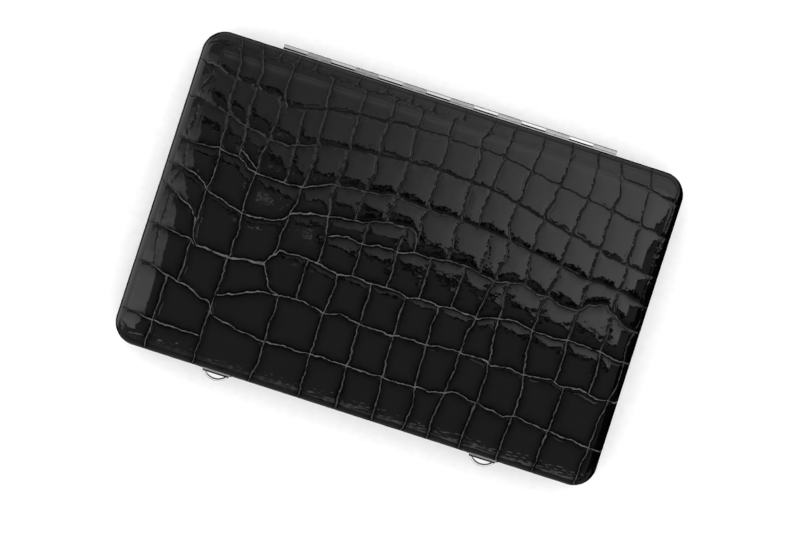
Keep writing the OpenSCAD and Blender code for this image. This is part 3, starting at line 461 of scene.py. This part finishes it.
def cover(name, step, seed, mirrored):
    """One half's leather: embossed outside, plain inside and closed round its cut edge."""
    flip = -1.0 if mirrored else 1.0
    xs, ys = span(CORNER_X, step), span(CORNER_Y, step)
    gy, gx = np.meshgrid(ys, xs, indexing="ij")
    lift, top_looks = embossing(flip * gx, gy, seed)
    top = np.stack([gx, gy, -lift], axis=-1).reshape(-1, 3)
    quads = [grid_faces(len(ys), len(xs), 0)]
    places, ways = perimeter(CORNER_X, CORNER_Y, CORNER_R, step)
    s = section_lengths(step)
    out, deep, aside, away = roll(s, 0)
    u, v = outward(places, ways, s)
    lift, wall_looks = embossing(flip * u, v, seed)
    outer = ring_points(places, ways, out + lift * aside, deep + lift * away)
    quads.append(grid_faces(len(s), len(places), len(top), closed=True))
    s = np.linspace(EDGE_END, ROLL_START, INNER_RINGS)[:, None]
    out, deep, aside, away = roll(s, LEATHER_T)
    inner = ring_points(places, ways, out, deep)
    first = len(top) + len(outer) - len(places)
    quads.append(grid_faces(INNER_RINGS + 1, len(places), first, closed=True))
    verts = np.concatenate([top, outer, inner])
    inside = np.arange(len(verts) - len(places), len(verts))
    if not mirrored:
        verts[:, 2] = CASE_H - verts[:, 2]
    obj = mesh_object(name, verts, np.concatenate(quads), [inside])
    keep_looks(obj, top_looks, wall_looks)
    return obj


# ---------- materials ----------

# Steps across a crease, each (millimetres from its line, level): its dull bottom, painted pale as a
# painted reflection, and the dark border beside it, painted shade where the shine is cut, for where
# creases look black and where they look pale
CORE = [(0.08, 1.0), (0.2, 0.0)]
THIN = [(0.06, 1.0), (0.2, 0.0)]
WIDE = [(0.2, 1.0), (0.5, 1.0), (0.9, 0.55), (1.7, 0.25), (3.2, 0.0)]
CORE_COLOUR, CORE_ROUGH = (0.105, 0.105, 0.108), 0.5
BLACKS = ((0.0006, 0.0006, 0.0007), (0.0012, 0.0012, 0.0012))
LACQUER_ROUGH, LACQUER_IOR = (0.03, 0.055), 1.5
LACQUER_BUMP = 0.015
SHINE, BORDER_SHINE = 0.5, 0.0
PALE_GAIN = 1.6
WORN, UNEVEN = (0.35, 1.0), (0.88, 1.0)
RAGGED = 0.1  # how far the borders wander, in millimetres
NOISE_LOW, NOISE_HIGH = 0.3, 0.7  # most values of a noise lie between these
# Noises of the leather, each (size, detail)
BORDER_NOISE, WORN_NOISE, UNEVEN_NOISE, RELIEF_NOISE = (1.1, 3.0), (2.2, 3.0), (3.1, 3.0), (2.2, 2.4)
BLACK_NOISE, GLOSS_NOISE = (9.0, 2.0), (5.0, 2.0)
CURVE_ROOM = 1.2  # how much further than its last step a curve of steps reaches


def new_material(name):
    mat = bpy.data.materials.new(name)
    mat.use_nodes = True
    return mat, mat.node_tree.nodes, mat.node_tree.links, mat.node_tree.nodes["Principled BSDF"]


def noise(nodes, links, size, detail=2.0, stretch=(1, 1, 1)):
    """Noise whose features are about `size` millimetres long."""
    place = nodes.new("ShaderNodeTexCoord")
    mapping = nodes.new("ShaderNodeMapping")
    mapping.inputs["Scale"].default_value = stretch
    texture = nodes.new("ShaderNodeTexNoise")
    texture.inputs["Scale"].default_value = 1 / (size * MM)
    texture.inputs["Detail"].default_value = detail
    links.new(place.outputs["Object"], mapping.inputs["Vector"])
    links.new(mapping.outputs["Vector"], texture.inputs["Vector"])
    return texture.outputs["Fac"]


def between(nodes, links, factor, low, high):
    """A number that follows a noise from one value to another."""
    change = nodes.new("ShaderNodeMapRange")
    change.inputs["From Min"].default_value = NOISE_LOW
    change.inputs["From Max"].default_value = NOISE_HIGH
    change.inputs["To Min"].default_value = low
    change.inputs["To Max"].default_value = high
    links.new(factor, change.inputs["Value"])
    return change.outputs["Result"]


def colours(nodes, links, factor, dark, light):
    """A colour that follows a noise from one to another."""
    ramp = nodes.new("ShaderNodeValToRGB")
    ramp.color_ramp.elements[0].position = NOISE_LOW
    ramp.color_ramp.elements[1].position = NOISE_HIGH
    ramp.color_ramp.elements[0].color = (*dark, 1)
    ramp.color_ramp.elements[1].color = (*light, 1)
    links.new(factor, ramp.inputs["Fac"])
    return ramp.outputs["Color"]


def bump(nodes, links, factor, height, shader):
    """Relief of a height in millimetres, from a noise."""
    node = nodes.new("ShaderNodeBump")
    node.inputs["Strength"].default_value = 1.0
    node.inputs["Distance"].default_value = height * MM
    links.new(factor, node.inputs["Height"])
    links.new(node.outputs["Normal"], shader.inputs["Normal"])


def attribute(nodes, name):
    found = nodes.new("ShaderNodeAttribute")
    found.attribute_name = name
    return found.outputs["Fac"]


def worked(nodes, links, operation, a, b):
    """What an operation makes of two numbers, of which the second may be a constant."""
    node = nodes.new("ShaderNodeMath")
    node.operation = operation
    links.new(a, node.inputs[0])
    if isinstance(b, float):
        node.inputs[1].default_value = b
    else:
        links.new(b, node.inputs[1])
    return node.outputs[0]


def stepped(nodes, links, value, steps):
    """A number that follows another one through some steps, each (value, level)."""
    curve = nodes.new("ShaderNodeFloatCurve")
    points = curve.mapping.curves[0].points
    reach = steps[-1][0] * CURVE_ROOM
    points[0].location = (0.0, steps[0][1])
    points[1].location = (1.0, steps[-1][1])
    for place, level in steps:
        points.new(place / reach, level)
    for point in points:
        point.handle_type = "VECTOR"
    curve.mapping.update()
    share = worked(nodes, links, "DIVIDE", value, reach)
    share.node.use_clamp = True
    links.new(share, curve.inputs["Value"])
    return curve.outputs["Value"]


def blended(nodes, links, factor, a, b):
    """A number between two others, which may each be a socket or a constant."""
    node = nodes.new("ShaderNodeMix")
    links.new(factor, node.inputs["Factor"])
    for socket, value in ((node.inputs["A"], a), (node.inputs["B"], b)):
        if isinstance(value, float):
            socket.default_value = value
        else:
            links.new(value, socket)
    return node.outputs["Result"]


def patent_leather(name):
    """Glossy black on the scales, with dark borders of painted shade and dull bottoms in the creases,
    painted paler as a painted reflection.
    """
    mat, nodes, links, shader = new_material(name)
    wander = between(nodes, links, noise(nodes, links, *BORDER_NOISE), -RAGGED, RAGGED)
    near = worked(nodes, links, "ADD", attribute(nodes, CREASE), wander)
    pale = attribute(nodes, PALE)
    worn = between(nodes, links, noise(nodes, links, *WORN_NOISE), *WORN)
    # painted reflection: the crease bottoms are painted pale where the pale attribute says, unevenly
    # along a noise of wear
    core = worked(nodes, links, "MULTIPLY", stepped(nodes, links, near, CORE), worn)
    core = worked(nodes, links, "MULTIPLY", core, pale)
    tone = nodes.new("ShaderNodeMix")
    tone.data_type = "RGBA"
    links.new(core, tone.inputs["Factor"])
    links.new(colours(nodes, links, noise(nodes, links, *BLACK_NOISE), *BLACKS), tone.inputs["A"])
    tone.inputs["B"].default_value = (*CORE_COLOUR, 1)
    links.new(tone.outputs["Result"], shader.inputs["Base Color"])
    gloss = between(nodes, links, noise(nodes, links, *GLOSS_NOISE), *LACQUER_ROUGH)
    links.new(blended(nodes, links, core, gloss, CORE_ROUGH), shader.inputs["Roughness"])
    # painted shade: the borders beside the creases lose their shine, wider where the creases are painted
    # pale
    thin, wide = stepped(nodes, links, near, THIN), stepped(nodes, links, near, WIDE)
    widened = worked(nodes, links, "MULTIPLY", pale, PALE_GAIN)
    widened.node.use_clamp = True
    border = blended(nodes, links, widened, thin, wide)
    uneven = between(nodes, links, noise(nodes, links, *UNEVEN_NOISE), *UNEVEN)
    border = worked(nodes, links, "MULTIPLY", border, uneven)
    shine = blended(nodes, links, border, SHINE, BORDER_SHINE)
    # painted shade: the shine is cut in the patches of the gloss attribute
    shine = worked(nodes, links, "MULTIPLY", shine, attribute(nodes, GLOSS))
    links.new(shine, shader.inputs["Specular IOR Level"])
    shader.inputs["IOR"].default_value = LACQUER_IOR
    bump(nodes, links, noise(nodes, links, *RELIEF_NOISE), LACQUER_BUMP, shader)
    return mat


# Each kind's noise for patches of tone, detail of fine marks, and range of roughness
METAL_PATCHES, METAL_DETAIL, METAL_ROUGHS = (4.0, 2.0), 3.0, (0.8, 1.25)
CLOTH_PATCHES, CLOTH_DETAIL, CLOTH_ROUGHS = (3.0, 4.0), 4.0, (0.8, 0.95)
PLAIN_PATCHES, PLAIN_DETAIL, PLAIN_ROUGHS = (2.5, 3.0), 3.0, (0.85, 1.15)


def textured(name, tones, tone_noise, fine_noise, roughs, relief):
    """Two tones in patches, with fine relief and a roughness that follows it."""
    mat, nodes, links, shader = new_material(name)
    fine = noise(nodes, links, *fine_noise)
    patches = noise(nodes, links, *tone_noise)
    links.new(colours(nodes, links, patches, *tones), shader.inputs["Base Color"])
    links.new(between(nodes, links, fine, *roughs), shader.inputs["Roughness"])
    bump(nodes, links, fine, relief, shader)
    return mat, shader


def metal(name, dark, light, rough, grain=(1, 1, 1), relief=0.0002, size=0.8):
    """A metal whose fine marks are stretched where its grain is less than 1."""
    fine, roughs = (size, METAL_DETAIL, grain), [share * rough for share in METAL_ROUGHS]
    mat, shader = textured(name, (dark, light), METAL_PATCHES, fine, roughs, relief)
    shader.inputs["Metallic"].default_value = 1.0
    return mat


def cloth(name, dark, light, nap=0.35, relief=0.06, size=0.35):
    """Velour or thread, with a nap that shines at low angles."""
    fine = (size, CLOTH_DETAIL)
    mat, shader = textured(name, (dark, light), CLOTH_PATCHES, fine, CLOTH_ROUGHS, relief)
    shader.inputs["Sheen Weight"].default_value = nap
    return mat


def plain(name, dark, light, rough, relief=0.02, size=0.5):
    """Board, plain leather, plastic or floor."""
    fine, roughs = (size, PLAIN_DETAIL), [share * rough for share in PLAIN_ROUGHS]
    return textured(name, (dark, light), PLAIN_PATCHES, fine, roughs, relief)[0]


def paint_shade(mat, low, high, colour):
    """Paints shade on a metal inside a box of places: a dark line of painted shade in a groove."""
    nodes, links = mat.node_tree.nodes, mat.node_tree.links
    shader = nodes["Principled BSDF"]
    place = nodes.new("ShaderNodeTexCoord")
    parts = nodes.new("ShaderNodeSeparateXYZ")
    links.new(place.outputs["Object"], parts.inputs["Vector"])
    within = []
    for axis, a, b in (("Y", low[0], high[0]), ("Z", low[1], high[1])):
        found = worked(nodes, links, "COMPARE", parts.outputs[axis], (a + b) / 2 * MM)
        found.node.inputs[2].default_value = (b - a) / 2 * MM
        within.append(found)
    mix = nodes.new("ShaderNodeMix")
    mix.data_type = "RGBA"
    links.new(worked(nodes, links, "MULTIPLY", *within), mix.inputs["Factor"])
    links.new(shader.inputs["Base Color"].links[0].from_socket, mix.inputs["A"])
    mix.inputs["B"].default_value = (*colour, 1)
    links.new(mix.outputs["Result"], shader.inputs["Base Color"])


# Where painted shade darkens the metal, as dark lines in gaps: the low and the high corner, each along Y
# and Z
UNDER_BUTTON, BUTTON_PAINTED_SHADE = ((-49.62, 11.5), (-49.16, 12.6)), (0.02, 0.02, 0.02)
BESIDE_HINGE, HINGE_PAINTED_SHADE = ((49.1, 13.3), (49.5, 14.2)), (0.01, 0.01, 0.01)


def cad_materials():
    """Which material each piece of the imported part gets."""
    nickel = metal("nickel", (0.72, 0.72, 0.73), (0.82, 0.82, 0.83), 0.2)
    bright = metal("bright_chrome", (0.88, 0.88, 0.89), (0.94, 0.94, 0.95), 0.1)
    # painted shade: a dark line in the gap between the button's head and its bezel
    paint_shade(bright, *UNDER_BUTTON, BUTTON_PAINTED_SHADE)
    # One nickel in lit and shaded copies: the base leaf is painted near white as painted light, the lid
    # leaf and the pin are painted darker as painted shade
    hinge = metal("hinge_nickel", (0.9, 0.9, 0.9), (0.97, 0.97, 0.97), 0.16)
    # painted shade: a dark line on the hinge's barrel where the leaf meets it
    paint_shade(hinge, *BESIDE_HINGE, HINGE_PAINTED_SHADE)
    hinge_painted_shaded = metal("hinge_nickel_painted_shaded", (0.5, 0.5, 0.51), (0.57, 0.57, 0.58), 0.25)
    steel = metal("brushed_steel", (0.62, 0.63, 0.64), (0.74, 0.75, 0.76), 0.26, (0.15, 1, 1))
    tool = metal("tool_steel", (0.7, 0.71, 0.72), (0.8, 0.81, 0.82), 0.16, (1, 0.2, 1))
    spring = metal("spring_steel", (0.4, 0.41, 0.44), (0.52, 0.53, 0.56), 0.3)
    grit = metal("file_grit", (0.5, 0.5, 0.51), (0.78, 0.78, 0.79), 0.45, (1, 1, 1), 0.06, 0.3)
    velour = cloth("velour", (0.16, 0.012, 0.022), (0.24, 0.022, 0.036))
    panel = cloth("panel_velour", (0.2, 0.016, 0.028), (0.29, 0.028, 0.044))
    card = plain("greyboard", (0.3, 0.24, 0.17), (0.4, 0.33, 0.24), 0.8, 0.05)
    strap = plain("strap_leather", (0.1, 0.008, 0.012), (0.15, 0.014, 0.02), 0.4, 0.05)
    handle = plain("black_plastic", (0.015, 0.015, 0.016), (0.03, 0.03, 0.032), 0.3, 0.004)
    table = {}
    for half in ("base", "lid"):
        table[half + "_board"] = card
        table[half + "_rim"] = steel
        table[half + "_lining"] = velour
        table["hinge_rivets_" + half] = nickel
    table["hinge_leaf_base"] = hinge
    # painted shade: the lid leaf and the pin take the darker copy of the hinge's nickel
    table["hinge_leaf_lid"] = hinge_painted_shaded
    table["hinge_pin"] = hinge_painted_shaded
    for side in ("left", "right"):
        table["catch_bezel_" + side] = nickel
        table["catch_housing_" + side] = steel
        table["catch_spring_" + side] = spring
        table["button_" + side] = bright
        table["latch_" + side] = nickel
    table.update(catch_rivets=nickel, insert_panel=panel, lid_pad=panel, tool_straps=strap)
    table.update(file_blade=grit, file_handle=handle)
    for name in ("cuticle_pusher", "tweezers", "clipper_lower_jaw", "clipper_upper_jaw",
                 "clipper_lever", "clipper_pin", "nail_scissor_lower", "nail_scissor_upper",
                 "nail_scissor_screw", "cuticle_scissor_lower", "cuticle_scissor_upper",
                 "cuticle_scissor_screw"):
        table[name] = tool
    return table


def dress(frame):
    """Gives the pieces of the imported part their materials."""
    for name, material in cad_materials().items():
        mesh = frame["nodes"][name].data
        mesh.materials.clear()
        mesh.materials.append(material)


# ---------- pieces ----------

def build_covers():
    """The embossed covers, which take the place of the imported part's plain ones."""
    leather = patent_leather("patent_leather")
    lid = cover("lid_cover", LID_STEP, LID_SEED, False)
    base = cover("base_cover", BASE_STEP, BASE_SEED, True)
    for obj, body in ((lid, "lid"), (base, "base")):
        weld(obj)
        obj.data.materials.append(leather)
        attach(obj, body)
        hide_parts(body + "_leather")


# The bowed leaf springs, as in the CAD
SPRING_FOOT, SPRING_HALF, SPRING_RISE, SPRING_T = -43.85, 3.8, 1.8, 0.2
SPRING_LOW, SPRING_TOP = 10.5, 12.0
SPRING_SIDES = 32


def bow_spring(middle):
    """Corners of the leaf, in fours from one foot to the other."""
    r = (SPRING_HALF ** 2 + SPRING_RISE ** 2) / (2 * SPRING_RISE)
    centre = SPRING_FOOT + r - SPRING_RISE
    points = []
    for share in np.linspace(-1, 1, SPRING_SIDES + 1):
        arcs = []
        for radius in (r, r - SPRING_T):
            turn = share * math.acos((r - SPRING_RISE) / radius)
            arcs.append((middle + radius * math.sin(turn), centre - radius * math.cos(turn)))
        outer, inner = arcs
        points += [(*outer, SPRING_LOW), (*inner, SPRING_LOW),
                   (*inner, SPRING_TOP), (*outer, SPRING_TOP)]
    return np.array(points)


def build_springs(frame):
    last = 4 * SPRING_SIDES
    quads = [(i + j, i + (j + 1) % 4, i + 4 + (j + 1) % 4, i + 4 + j)
             for i in range(0, last, 4) for j in range(4)]
    caps = [np.array((3, 2, 1, 0)), np.array((last, last + 1, last + 2, last + 3))]
    for side, middle in CATCHES:
        node = "catch_spring_" + side
        obj = mesh_object("bow_spring_" + side, bow_spring(middle), quads, caps, smooth=False)
        obj.data.materials.append(frame["nodes"][node].data.materials[0])
        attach(obj, "base")
        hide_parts(node)
        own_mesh(obj)


# The padded panel in the lid: its sides, its face, its crown and the seam round it
PAD_X, PAD_Y, PAD_R = 68.6, 42.4, 3.0
PAD_FACE, PAD_BACK, PAD_EDGE = 21.3, 22.9, 22.45
PAD_ROUND, PAD_CROWN, PAD_STEEP = 4.0, 0.7, 0.96
PAD_STEP, PAD_RINGS = 0.8, 8
PUCKER, PUCKER_RUN = (0.06, 7.0, 1.7), 4
SEAM_IN, SEAM_W, SEAM_DEPTH = 6.5, 0.8, 0.35
# The stitches in the feet of the tools' straps
FOOT_TOP = 5.5
STRAP_SLACK, STRAP_T, STRAP_FOOT = 0.2, 0.8, 2.0
STITCH_PITCH, STITCH_L, STITCH_R, STITCH_OVER = 2.4, 1.7, 0.16, 0.05
STITCH_ROWS, STITCH_SIDES, STITCH_TIP, STITCH_SAG = 7, 8, 0.02, 0.5
# Each strap's middle and the width of the tool under it
STRAPS = [
    (-60.5, -26.5, 8), (-60.5, 10, 6.4), (-51, -6, 3), (-51, 20, 3), (-25.5, -3.16, 13.05),
    (-25.5, 26.86, 5.2), (4.5, -12.87, 9), (4.5, 17.16, 9), (18.5, -4.05, 12), (46.5, 3.42, 12.5),
    (46.5, -25.08, 4),
]


def pad_face(x, y):
    """Height of the pad's face: rounded at its edge, crowned, and drawn in along a sewn seam."""
    inside = np.minimum(PAD_X - np.abs(x), PAD_Y - np.abs(y))
    corner = np.hypot(np.maximum(np.abs(x) - PAD_X + PAD_R, 0),
                      np.maximum(np.abs(y) - PAD_Y + PAD_R, 0))
    inside = np.where(corner > 0, np.minimum(inside, PAD_R - corner), inside)
    near = np.clip(1 - inside / PAD_ROUND, 0, 1)
    round_in = (PAD_EDGE - PAD_FACE) * (1 - np.sqrt(1 - PAD_STEEP * near ** 2))
    crown = PAD_CROWN * np.clip(1 - (x / PAD_X) ** 2, 0, 1) * np.clip(1 - (y / PAD_Y) ** 2, 0, 1)
    seam = SEAM_DEPTH * np.exp(-(((inside - SEAM_IN) / SEAM_W) ** 2))
    puckers = wave(x, y, 0, *PUCKER) * np.exp(-np.abs(inside - SEAM_IN) / PUCKER_RUN)
    return PAD_FACE + round_in - crown + seam + puckers


def build_pad(material):
    """The lid's padded panel: its face, rounded sides and flat back."""
    half_x, half_y = PAD_X - PAD_R, PAD_Y - PAD_R
    xs, ys = span(half_x, PAD_STEP), span(half_y, PAD_STEP)
    gy, gx = np.meshgrid(ys, xs, indexing="ij")
    middle = np.stack([gx, gy, pad_face(gx, gy)], axis=-1).reshape(-1, 3)
    quads = [grid_faces(len(ys), len(xs), 0)]
    places, ways = perimeter(half_x, half_y, PAD_R, PAD_STEP)
    out = np.linspace(0, PAD_R, PAD_RINGS)[:, None]
    face = ring_points(places, ways, out, pad_face(*outward(places, ways, out)))
    back = ring_points(places, ways, np.array([[PAD_R]]), np.array([[PAD_BACK]]))
    quads.append(grid_faces(len(out) + 1, len(places), len(middle), closed=True))
    verts = np.concatenate([middle, face, back])
    behind = np.arange(len(verts) - len(places), len(verts))
    pad = mesh_object("padded_panel", verts, np.concatenate(quads), [behind])
    weld(pad)
    pad.data.materials.append(material)
    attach(pad, "lid")
    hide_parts("lid_pad")


def thread(x, y, z, verts, quads, caps):
    """One stitch lying along Y, thick in its middle and sunk at its ends."""
    sides = STITCH_SIDES
    first = len(verts)
    for t in np.linspace(-1, 1, STITCH_ROWS):
        r = STITCH_R * math.sqrt(1 + STITCH_TIP - t ** 4)
        for k in range(sides):
            a = 2 * math.pi * k / sides
            verts.append((x + r * math.cos(a), y + t * STITCH_L / 2,
                          z + r * math.sin(a) - STITCH_SAG * STITCH_R * t * t))
    quads.append(grid_faces(STITCH_ROWS, sides, first, closed=True))
    caps.append(np.arange(first + sides - 1, first - 1, -1))
    caps.append(np.arange(first + (STITCH_ROWS - 1) * sides, first + STITCH_ROWS * sides))


def build_stitches():
    """Three stitches through each foot of each strap."""
    verts, quads, caps = [], [], []
    for x, y, width in STRAPS:
        out = width / 2 + STRAP_SLACK + STRAP_T + STRAP_FOOT / 2
        for side in (-1, 1):
            for k in range(-1, 2):
                thread(x + side * out, y + STITCH_PITCH * k, FOOT_TOP + STITCH_OVER, verts, quads, caps)
    stitches = mesh_object("strap_stitches", verts, np.concatenate(quads), caps)
    stitches.data.materials.append(
        cloth("thread", (0.3, 0.05, 0.06), (0.42, 0.08, 0.1), 0.1, 0.01, 0.12))
    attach(stitches, "base")


# ---------- studio ----------

# The camera looks straight down, turned like the photo's
VIEW_TURN = math.radians(17.8)
VIEW_WIDTH = 238.0
CAMERA_UP = 6000.0
VIEW_SHIFT = (0.19, -2.4)
SENSOR, CLIP = 36.0, (0.1, 100.0)
WORLD_SEEN, WORLD_SHED = 1.0, 1.8  # the world's level where it is seen and where it lights things
FLOOR_HALF, FLOOR_Z = 1500.0, -0.05


def ramp_along(nodes, links, parts, axis, ends, levels):
    """A number that goes from one level to another between two places on an axis."""
    level = nodes.new("ShaderNodeMapRange")
    level.interpolation_type = "SMOOTHSTEP"
    level.inputs["From Min"].default_value = ends[0] * MM
    level.inputs["From Max"].default_value = ends[1] * MM
    level.inputs["To Min"].default_value = levels[0]
    level.inputs["To Max"].default_value = levels[1]
    links.new(parts.outputs[axis], level.inputs["Value"])
    return level.outputs["Result"]


def emitter(name, along_x, along_y, far_x, change):
    """A glow whose level is a ramp along X times one along Y, each (places, levels).

    Between two places along Y it may change over to another ramp along X."""
    mat = bpy.data.materials.new(name)
    mat.use_nodes = True
    nodes, links = mat.node_tree.nodes, mat.node_tree.links
    nodes.clear()
    glow = nodes.new("ShaderNodeEmission")
    place = nodes.new("ShaderNodeTexCoord")
    parts = nodes.new("ShaderNodeSeparateXYZ")
    links.new(place.outputs["Object"], parts.inputs["Vector"])
    level = ramp_along(nodes, links, parts, "X", *along_x)
    if far_x:
        mix = nodes.new("ShaderNodeMix")
        links.new(ramp_along(nodes, links, parts, "Y", change, (0, 1)), mix.inputs["Factor"])
        links.new(level, mix.inputs["A"])
        links.new(ramp_along(nodes, links, parts, "X", *far_x), mix.inputs["B"])
        level = mix.outputs["Result"]
    level = worked(nodes, links, "MULTIPLY", level, ramp_along(nodes, links, parts, "Y", *along_y))
    links.new(level, glow.inputs["Strength"])
    end = nodes.new("ShaderNodeOutputMaterial")
    links.new(glow.outputs["Emission"], end.inputs["Surface"])
    return mat


def even(level):
    """A ramp that is the same everywhere."""
    return (-1, 1), (level, level)


def card(name, corners, along_x, along_y=even(1.0), far_x=None, change=None):
    """A studio flag or card that only shows in reflections."""
    obj = mesh_object(name, corners, [], [np.arange(len(corners))], smooth=False)
    obj.data.materials.append(emitter(name, along_x, along_y, far_x, change))
    obj.visible_camera = False
    obj.visible_diffuse = False
    obj.visible_transmission = False
    obj.visible_shadow = False


def level_card(name, x0, y0, x1, y1, z, along_x, along_y=even(1.0)):
    card(name, [(x0, y0, z), (x1, y0, z), (x1, y1, z), (x0, y1, z)], along_x, along_y)


def upright_card(name, x0, y0, x1, y1, z0, z1, along_x):
    card(name, [(x0, y0, z0), (x1, y1, z0), (x1, y1, z1), (x0, y0, z1)], along_x)


# The leather mirrors level cards at FLAG_Z, whose edges part its dark scales from its bright ones
FLAG_Z = 326.0
CARDS_X, CARDS_Y = (-1500.0, 900.0), (-620.0, 900.0)
FLAG_EDGE = [(905, 61), (126, 27.6), (124, -8), (75, -5), (56.5, -3), (-9.2, 6.6), (-39, 15.4),
             (-46, 22.5), (-53.3, 26.6), (-114, 29.7)]  # from the dim front to the sky
EDGE_BAND = 5.5  # width of the black band in front of that edge
FLAG_LEFT, FLAG_LEFT_LOW = -113.8, -88.8  # the right end of the card at the left, back and front
LEFT_NEAR, LEFT_TURN, LEFT_BEND, LEFT_STEP, LEFT_TOP = -300.0, -60.0, 30.0, 2.0, 40.0  # its corners
SKY_END = 93.0  # the sky is made of two cards that meet here
DIM, LEFT_FAR_LEVEL = 0.25, 0.3
LEFT_ALONG_Y, BACK_ALONG_X = ((-60, 40), (1.5, 0.6)), ((-70, 60), (0.42, 1.1))
SKY_ALONG_X, SKY_FAR_ALONG_X, SKY_CHANGE = ((-70, 120), (0.43, 1.55)), ((-70, 120), (0.8, 1.6)), (50, 85)
# Small lights for the brightest scales, each (x0, y0, x1, y1, level)
LAMP_Z = FLAG_Z - 1
LAMPS = [(-48.2, 4.6, -44.6, 6.7, 1.5), (-30.8, -3.1, -27.2, -1.2, 1.2), (-69.7, 18.4, -66, 20.1, 0.9)]
# Over each button's face: width, near and far end, height
BUTTON_CARD_W, BUTTON_CARD_NEAR, BUTTON_CARD_FAR, BUTTON_CARD_Z = 8.6, -51.7, -49.2, 14.0
# Walls, each (name, x0, y0, x1, y1, z0, z1, ramp along X)
WALLS = [
    ("card_front", -900, -650, 900, -650, 60, FLAG_Z, ((-64, 60), (0.35, 1.2))),
    ("flag_front", -900, -650, 900, -650, 0, 60, even(0.0)),
    ("card_back", -900, 900, 1000, 900, 0, FLAG_Z, ((-77, 55), (0.5, 0.9))),
    ("flag_right", 400, -900, 400, 28, 0, 150, even(0.0)),
]
# What the sides of the case mirror of the floor, each (name, x0, y0, x1, y1, level)
GROUND_Z = -1
GROUNDS = [
    ("flag_floor", -100, -62, 900, 70, 0.0),
    ("floor_front", -300, -700, 900, -62, 0.2),
    ("floor_back", -300, 70, 900, 900, 0.4),
]


def add_ceiling():
    """Dim over the front, and bright over the back and the left."""
    z, left, low = FLAG_Z, FLAG_LEFT, FLAG_LEFT_LOW
    (most_left, most_right), (near, far) = CARDS_X, CARDS_Y
    edge = [(x, y, z) for x, y in FLAG_EDGE]
    band = [(x, y - EDGE_BAND, z) for x, y in FLAG_EDGE]
    corner = [(low, LEFT_TURN, z), (low - LEFT_STEP, 0, z)]
    card("flag_over", [(low, near, z), (most_right, near, z), *band, *corner[::-1]], even(DIM))
    card("flag_edge", [*band, *edge[::-1]], even(0.0))
    card("sky_over", [*edge[::-1], (most_right, SKY_END, z), (left, SKY_END, z)], SKY_ALONG_X,
         even(1.0), SKY_FAR_ALONG_X, SKY_CHANGE)
    level_card("sky_back", left, SKY_END, most_right, far, z, BACK_ALONG_X)
    level_card("flag_corner", most_left, near, low, LEFT_NEAR, z, even(DIM))
    card("card_left", [(most_left, LEFT_NEAR, z), (low, LEFT_NEAR, z), *corner, (left, LEFT_BEND, z),
                       (left, LEFT_TOP, z), (most_left, LEFT_TOP, z)], even(1.0), LEFT_ALONG_Y)
    level_card("card_left_far", most_left, LEFT_TOP, left, far, z, even(LEFT_FAR_LEVEL))


def add_cards():
    """The studio that the leather and the metal mirror."""
    add_ceiling()
    for i, (x0, y0, x1, y1, level) in enumerate(LAMPS):
        level_card(f"lamp_{i}", x0, y0, x1, y1, LAMP_Z, even(level))
    for side, x in CATCHES:
        level_card("card_button_" + side, x - BUTTON_CARD_W / 2, BUTTON_CARD_NEAR,
                   x + BUTTON_CARD_W / 2, BUTTON_CARD_FAR, BUTTON_CARD_Z, even(1.0))
    for wall in WALLS:
        upright_card(*wall)
    for name, x0, y0, x1, y1, level in GROUNDS:
        level_card(name, x0, y0, x1, y1, GROUND_Z, even(level))


def add_floor():
    ends = ((-1, -1), (1, -1), (1, 1), (-1, 1))
    corners = [(x * FLOOR_HALF, y * FLOOR_HALF, FLOOR_Z) for x, y in ends]
    floor = mesh_object("floor", corners, [(0, 1, 2, 3)], smooth=False)
    pale = plain("pale_floor", (0.82, 0.82, 0.82), (0.86, 0.86, 0.86), 0.9, 0.01, 6.0)
    floor.data.materials.append(pale)
    floor.visible_glossy = False


def add_world():
    """White all round, and brighter for the rays that only carry light."""
    world = bpy.data.worlds.new("studio")
    bpy.context.scene.world = world
    world.use_nodes = True
    nodes, links = world.node_tree.nodes, world.node_tree.links
    glow = nodes["Background"]
    paths = nodes.new("ShaderNodeLightPath")
    seen = paths.outputs["Is Camera Ray"]
    for ray in ("Is Glossy Ray", "Is Transmission Ray"):
        seen = worked(nodes, links, "MAXIMUM", seen, paths.outputs[ray])
    level = nodes.new("ShaderNodeMapRange")
    level.inputs["To Min"].default_value = WORLD_SHED
    level.inputs["To Max"].default_value = WORLD_SEEN
    links.new(seen, level.inputs["Value"])
    links.new(level.outputs["Result"], glow.inputs["Strength"])
    glow.inputs["Color"].default_value = (1, 1, 1, 1)


def add_camera():
    """Looks straight down from far above, as the photo does."""
    data = bpy.data.cameras.new("camera")
    data.sensor_width = SENSOR
    data.lens = SENSOR * (CAMERA_UP - CASE_H) / VIEW_WIDTH
    data.clip_start, data.clip_end = CLIP
    camera = bpy.data.objects.new("camera", data)
    bpy.context.scene.collection.objects.link(camera)
    right = Vector((math.cos(VIEW_TURN), math.sin(VIEW_TURN), 0))
    up = Vector((-math.sin(VIEW_TURN), math.cos(VIEW_TURN), 0))
    place = right * VIEW_SHIFT[0] + up * VIEW_SHIFT[1] + Vector((0, 0, CAMERA_UP))
    turn = Matrix((right, up, right.cross(up))).transposed()
    camera.matrix_world = Matrix.Translation(place * MM) @ turn.to_4x4()
    bpy.context.scene.camera = camera


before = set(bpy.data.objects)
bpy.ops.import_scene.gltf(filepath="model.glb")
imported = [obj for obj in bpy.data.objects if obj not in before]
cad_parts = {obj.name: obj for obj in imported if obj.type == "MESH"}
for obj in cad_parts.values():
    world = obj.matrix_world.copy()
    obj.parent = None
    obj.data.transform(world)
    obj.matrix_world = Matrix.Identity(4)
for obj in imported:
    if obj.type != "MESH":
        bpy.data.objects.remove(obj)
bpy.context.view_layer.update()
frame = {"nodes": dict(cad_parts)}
bpy.context.scene.view_settings.view_transform = "Standard"
dress(frame)
build_covers()
build_springs(frame)
build_pad(bpy.data.materials["panel_velour"])
build_stitches()
add_floor()
add_cards()
add_world()
add_camera()
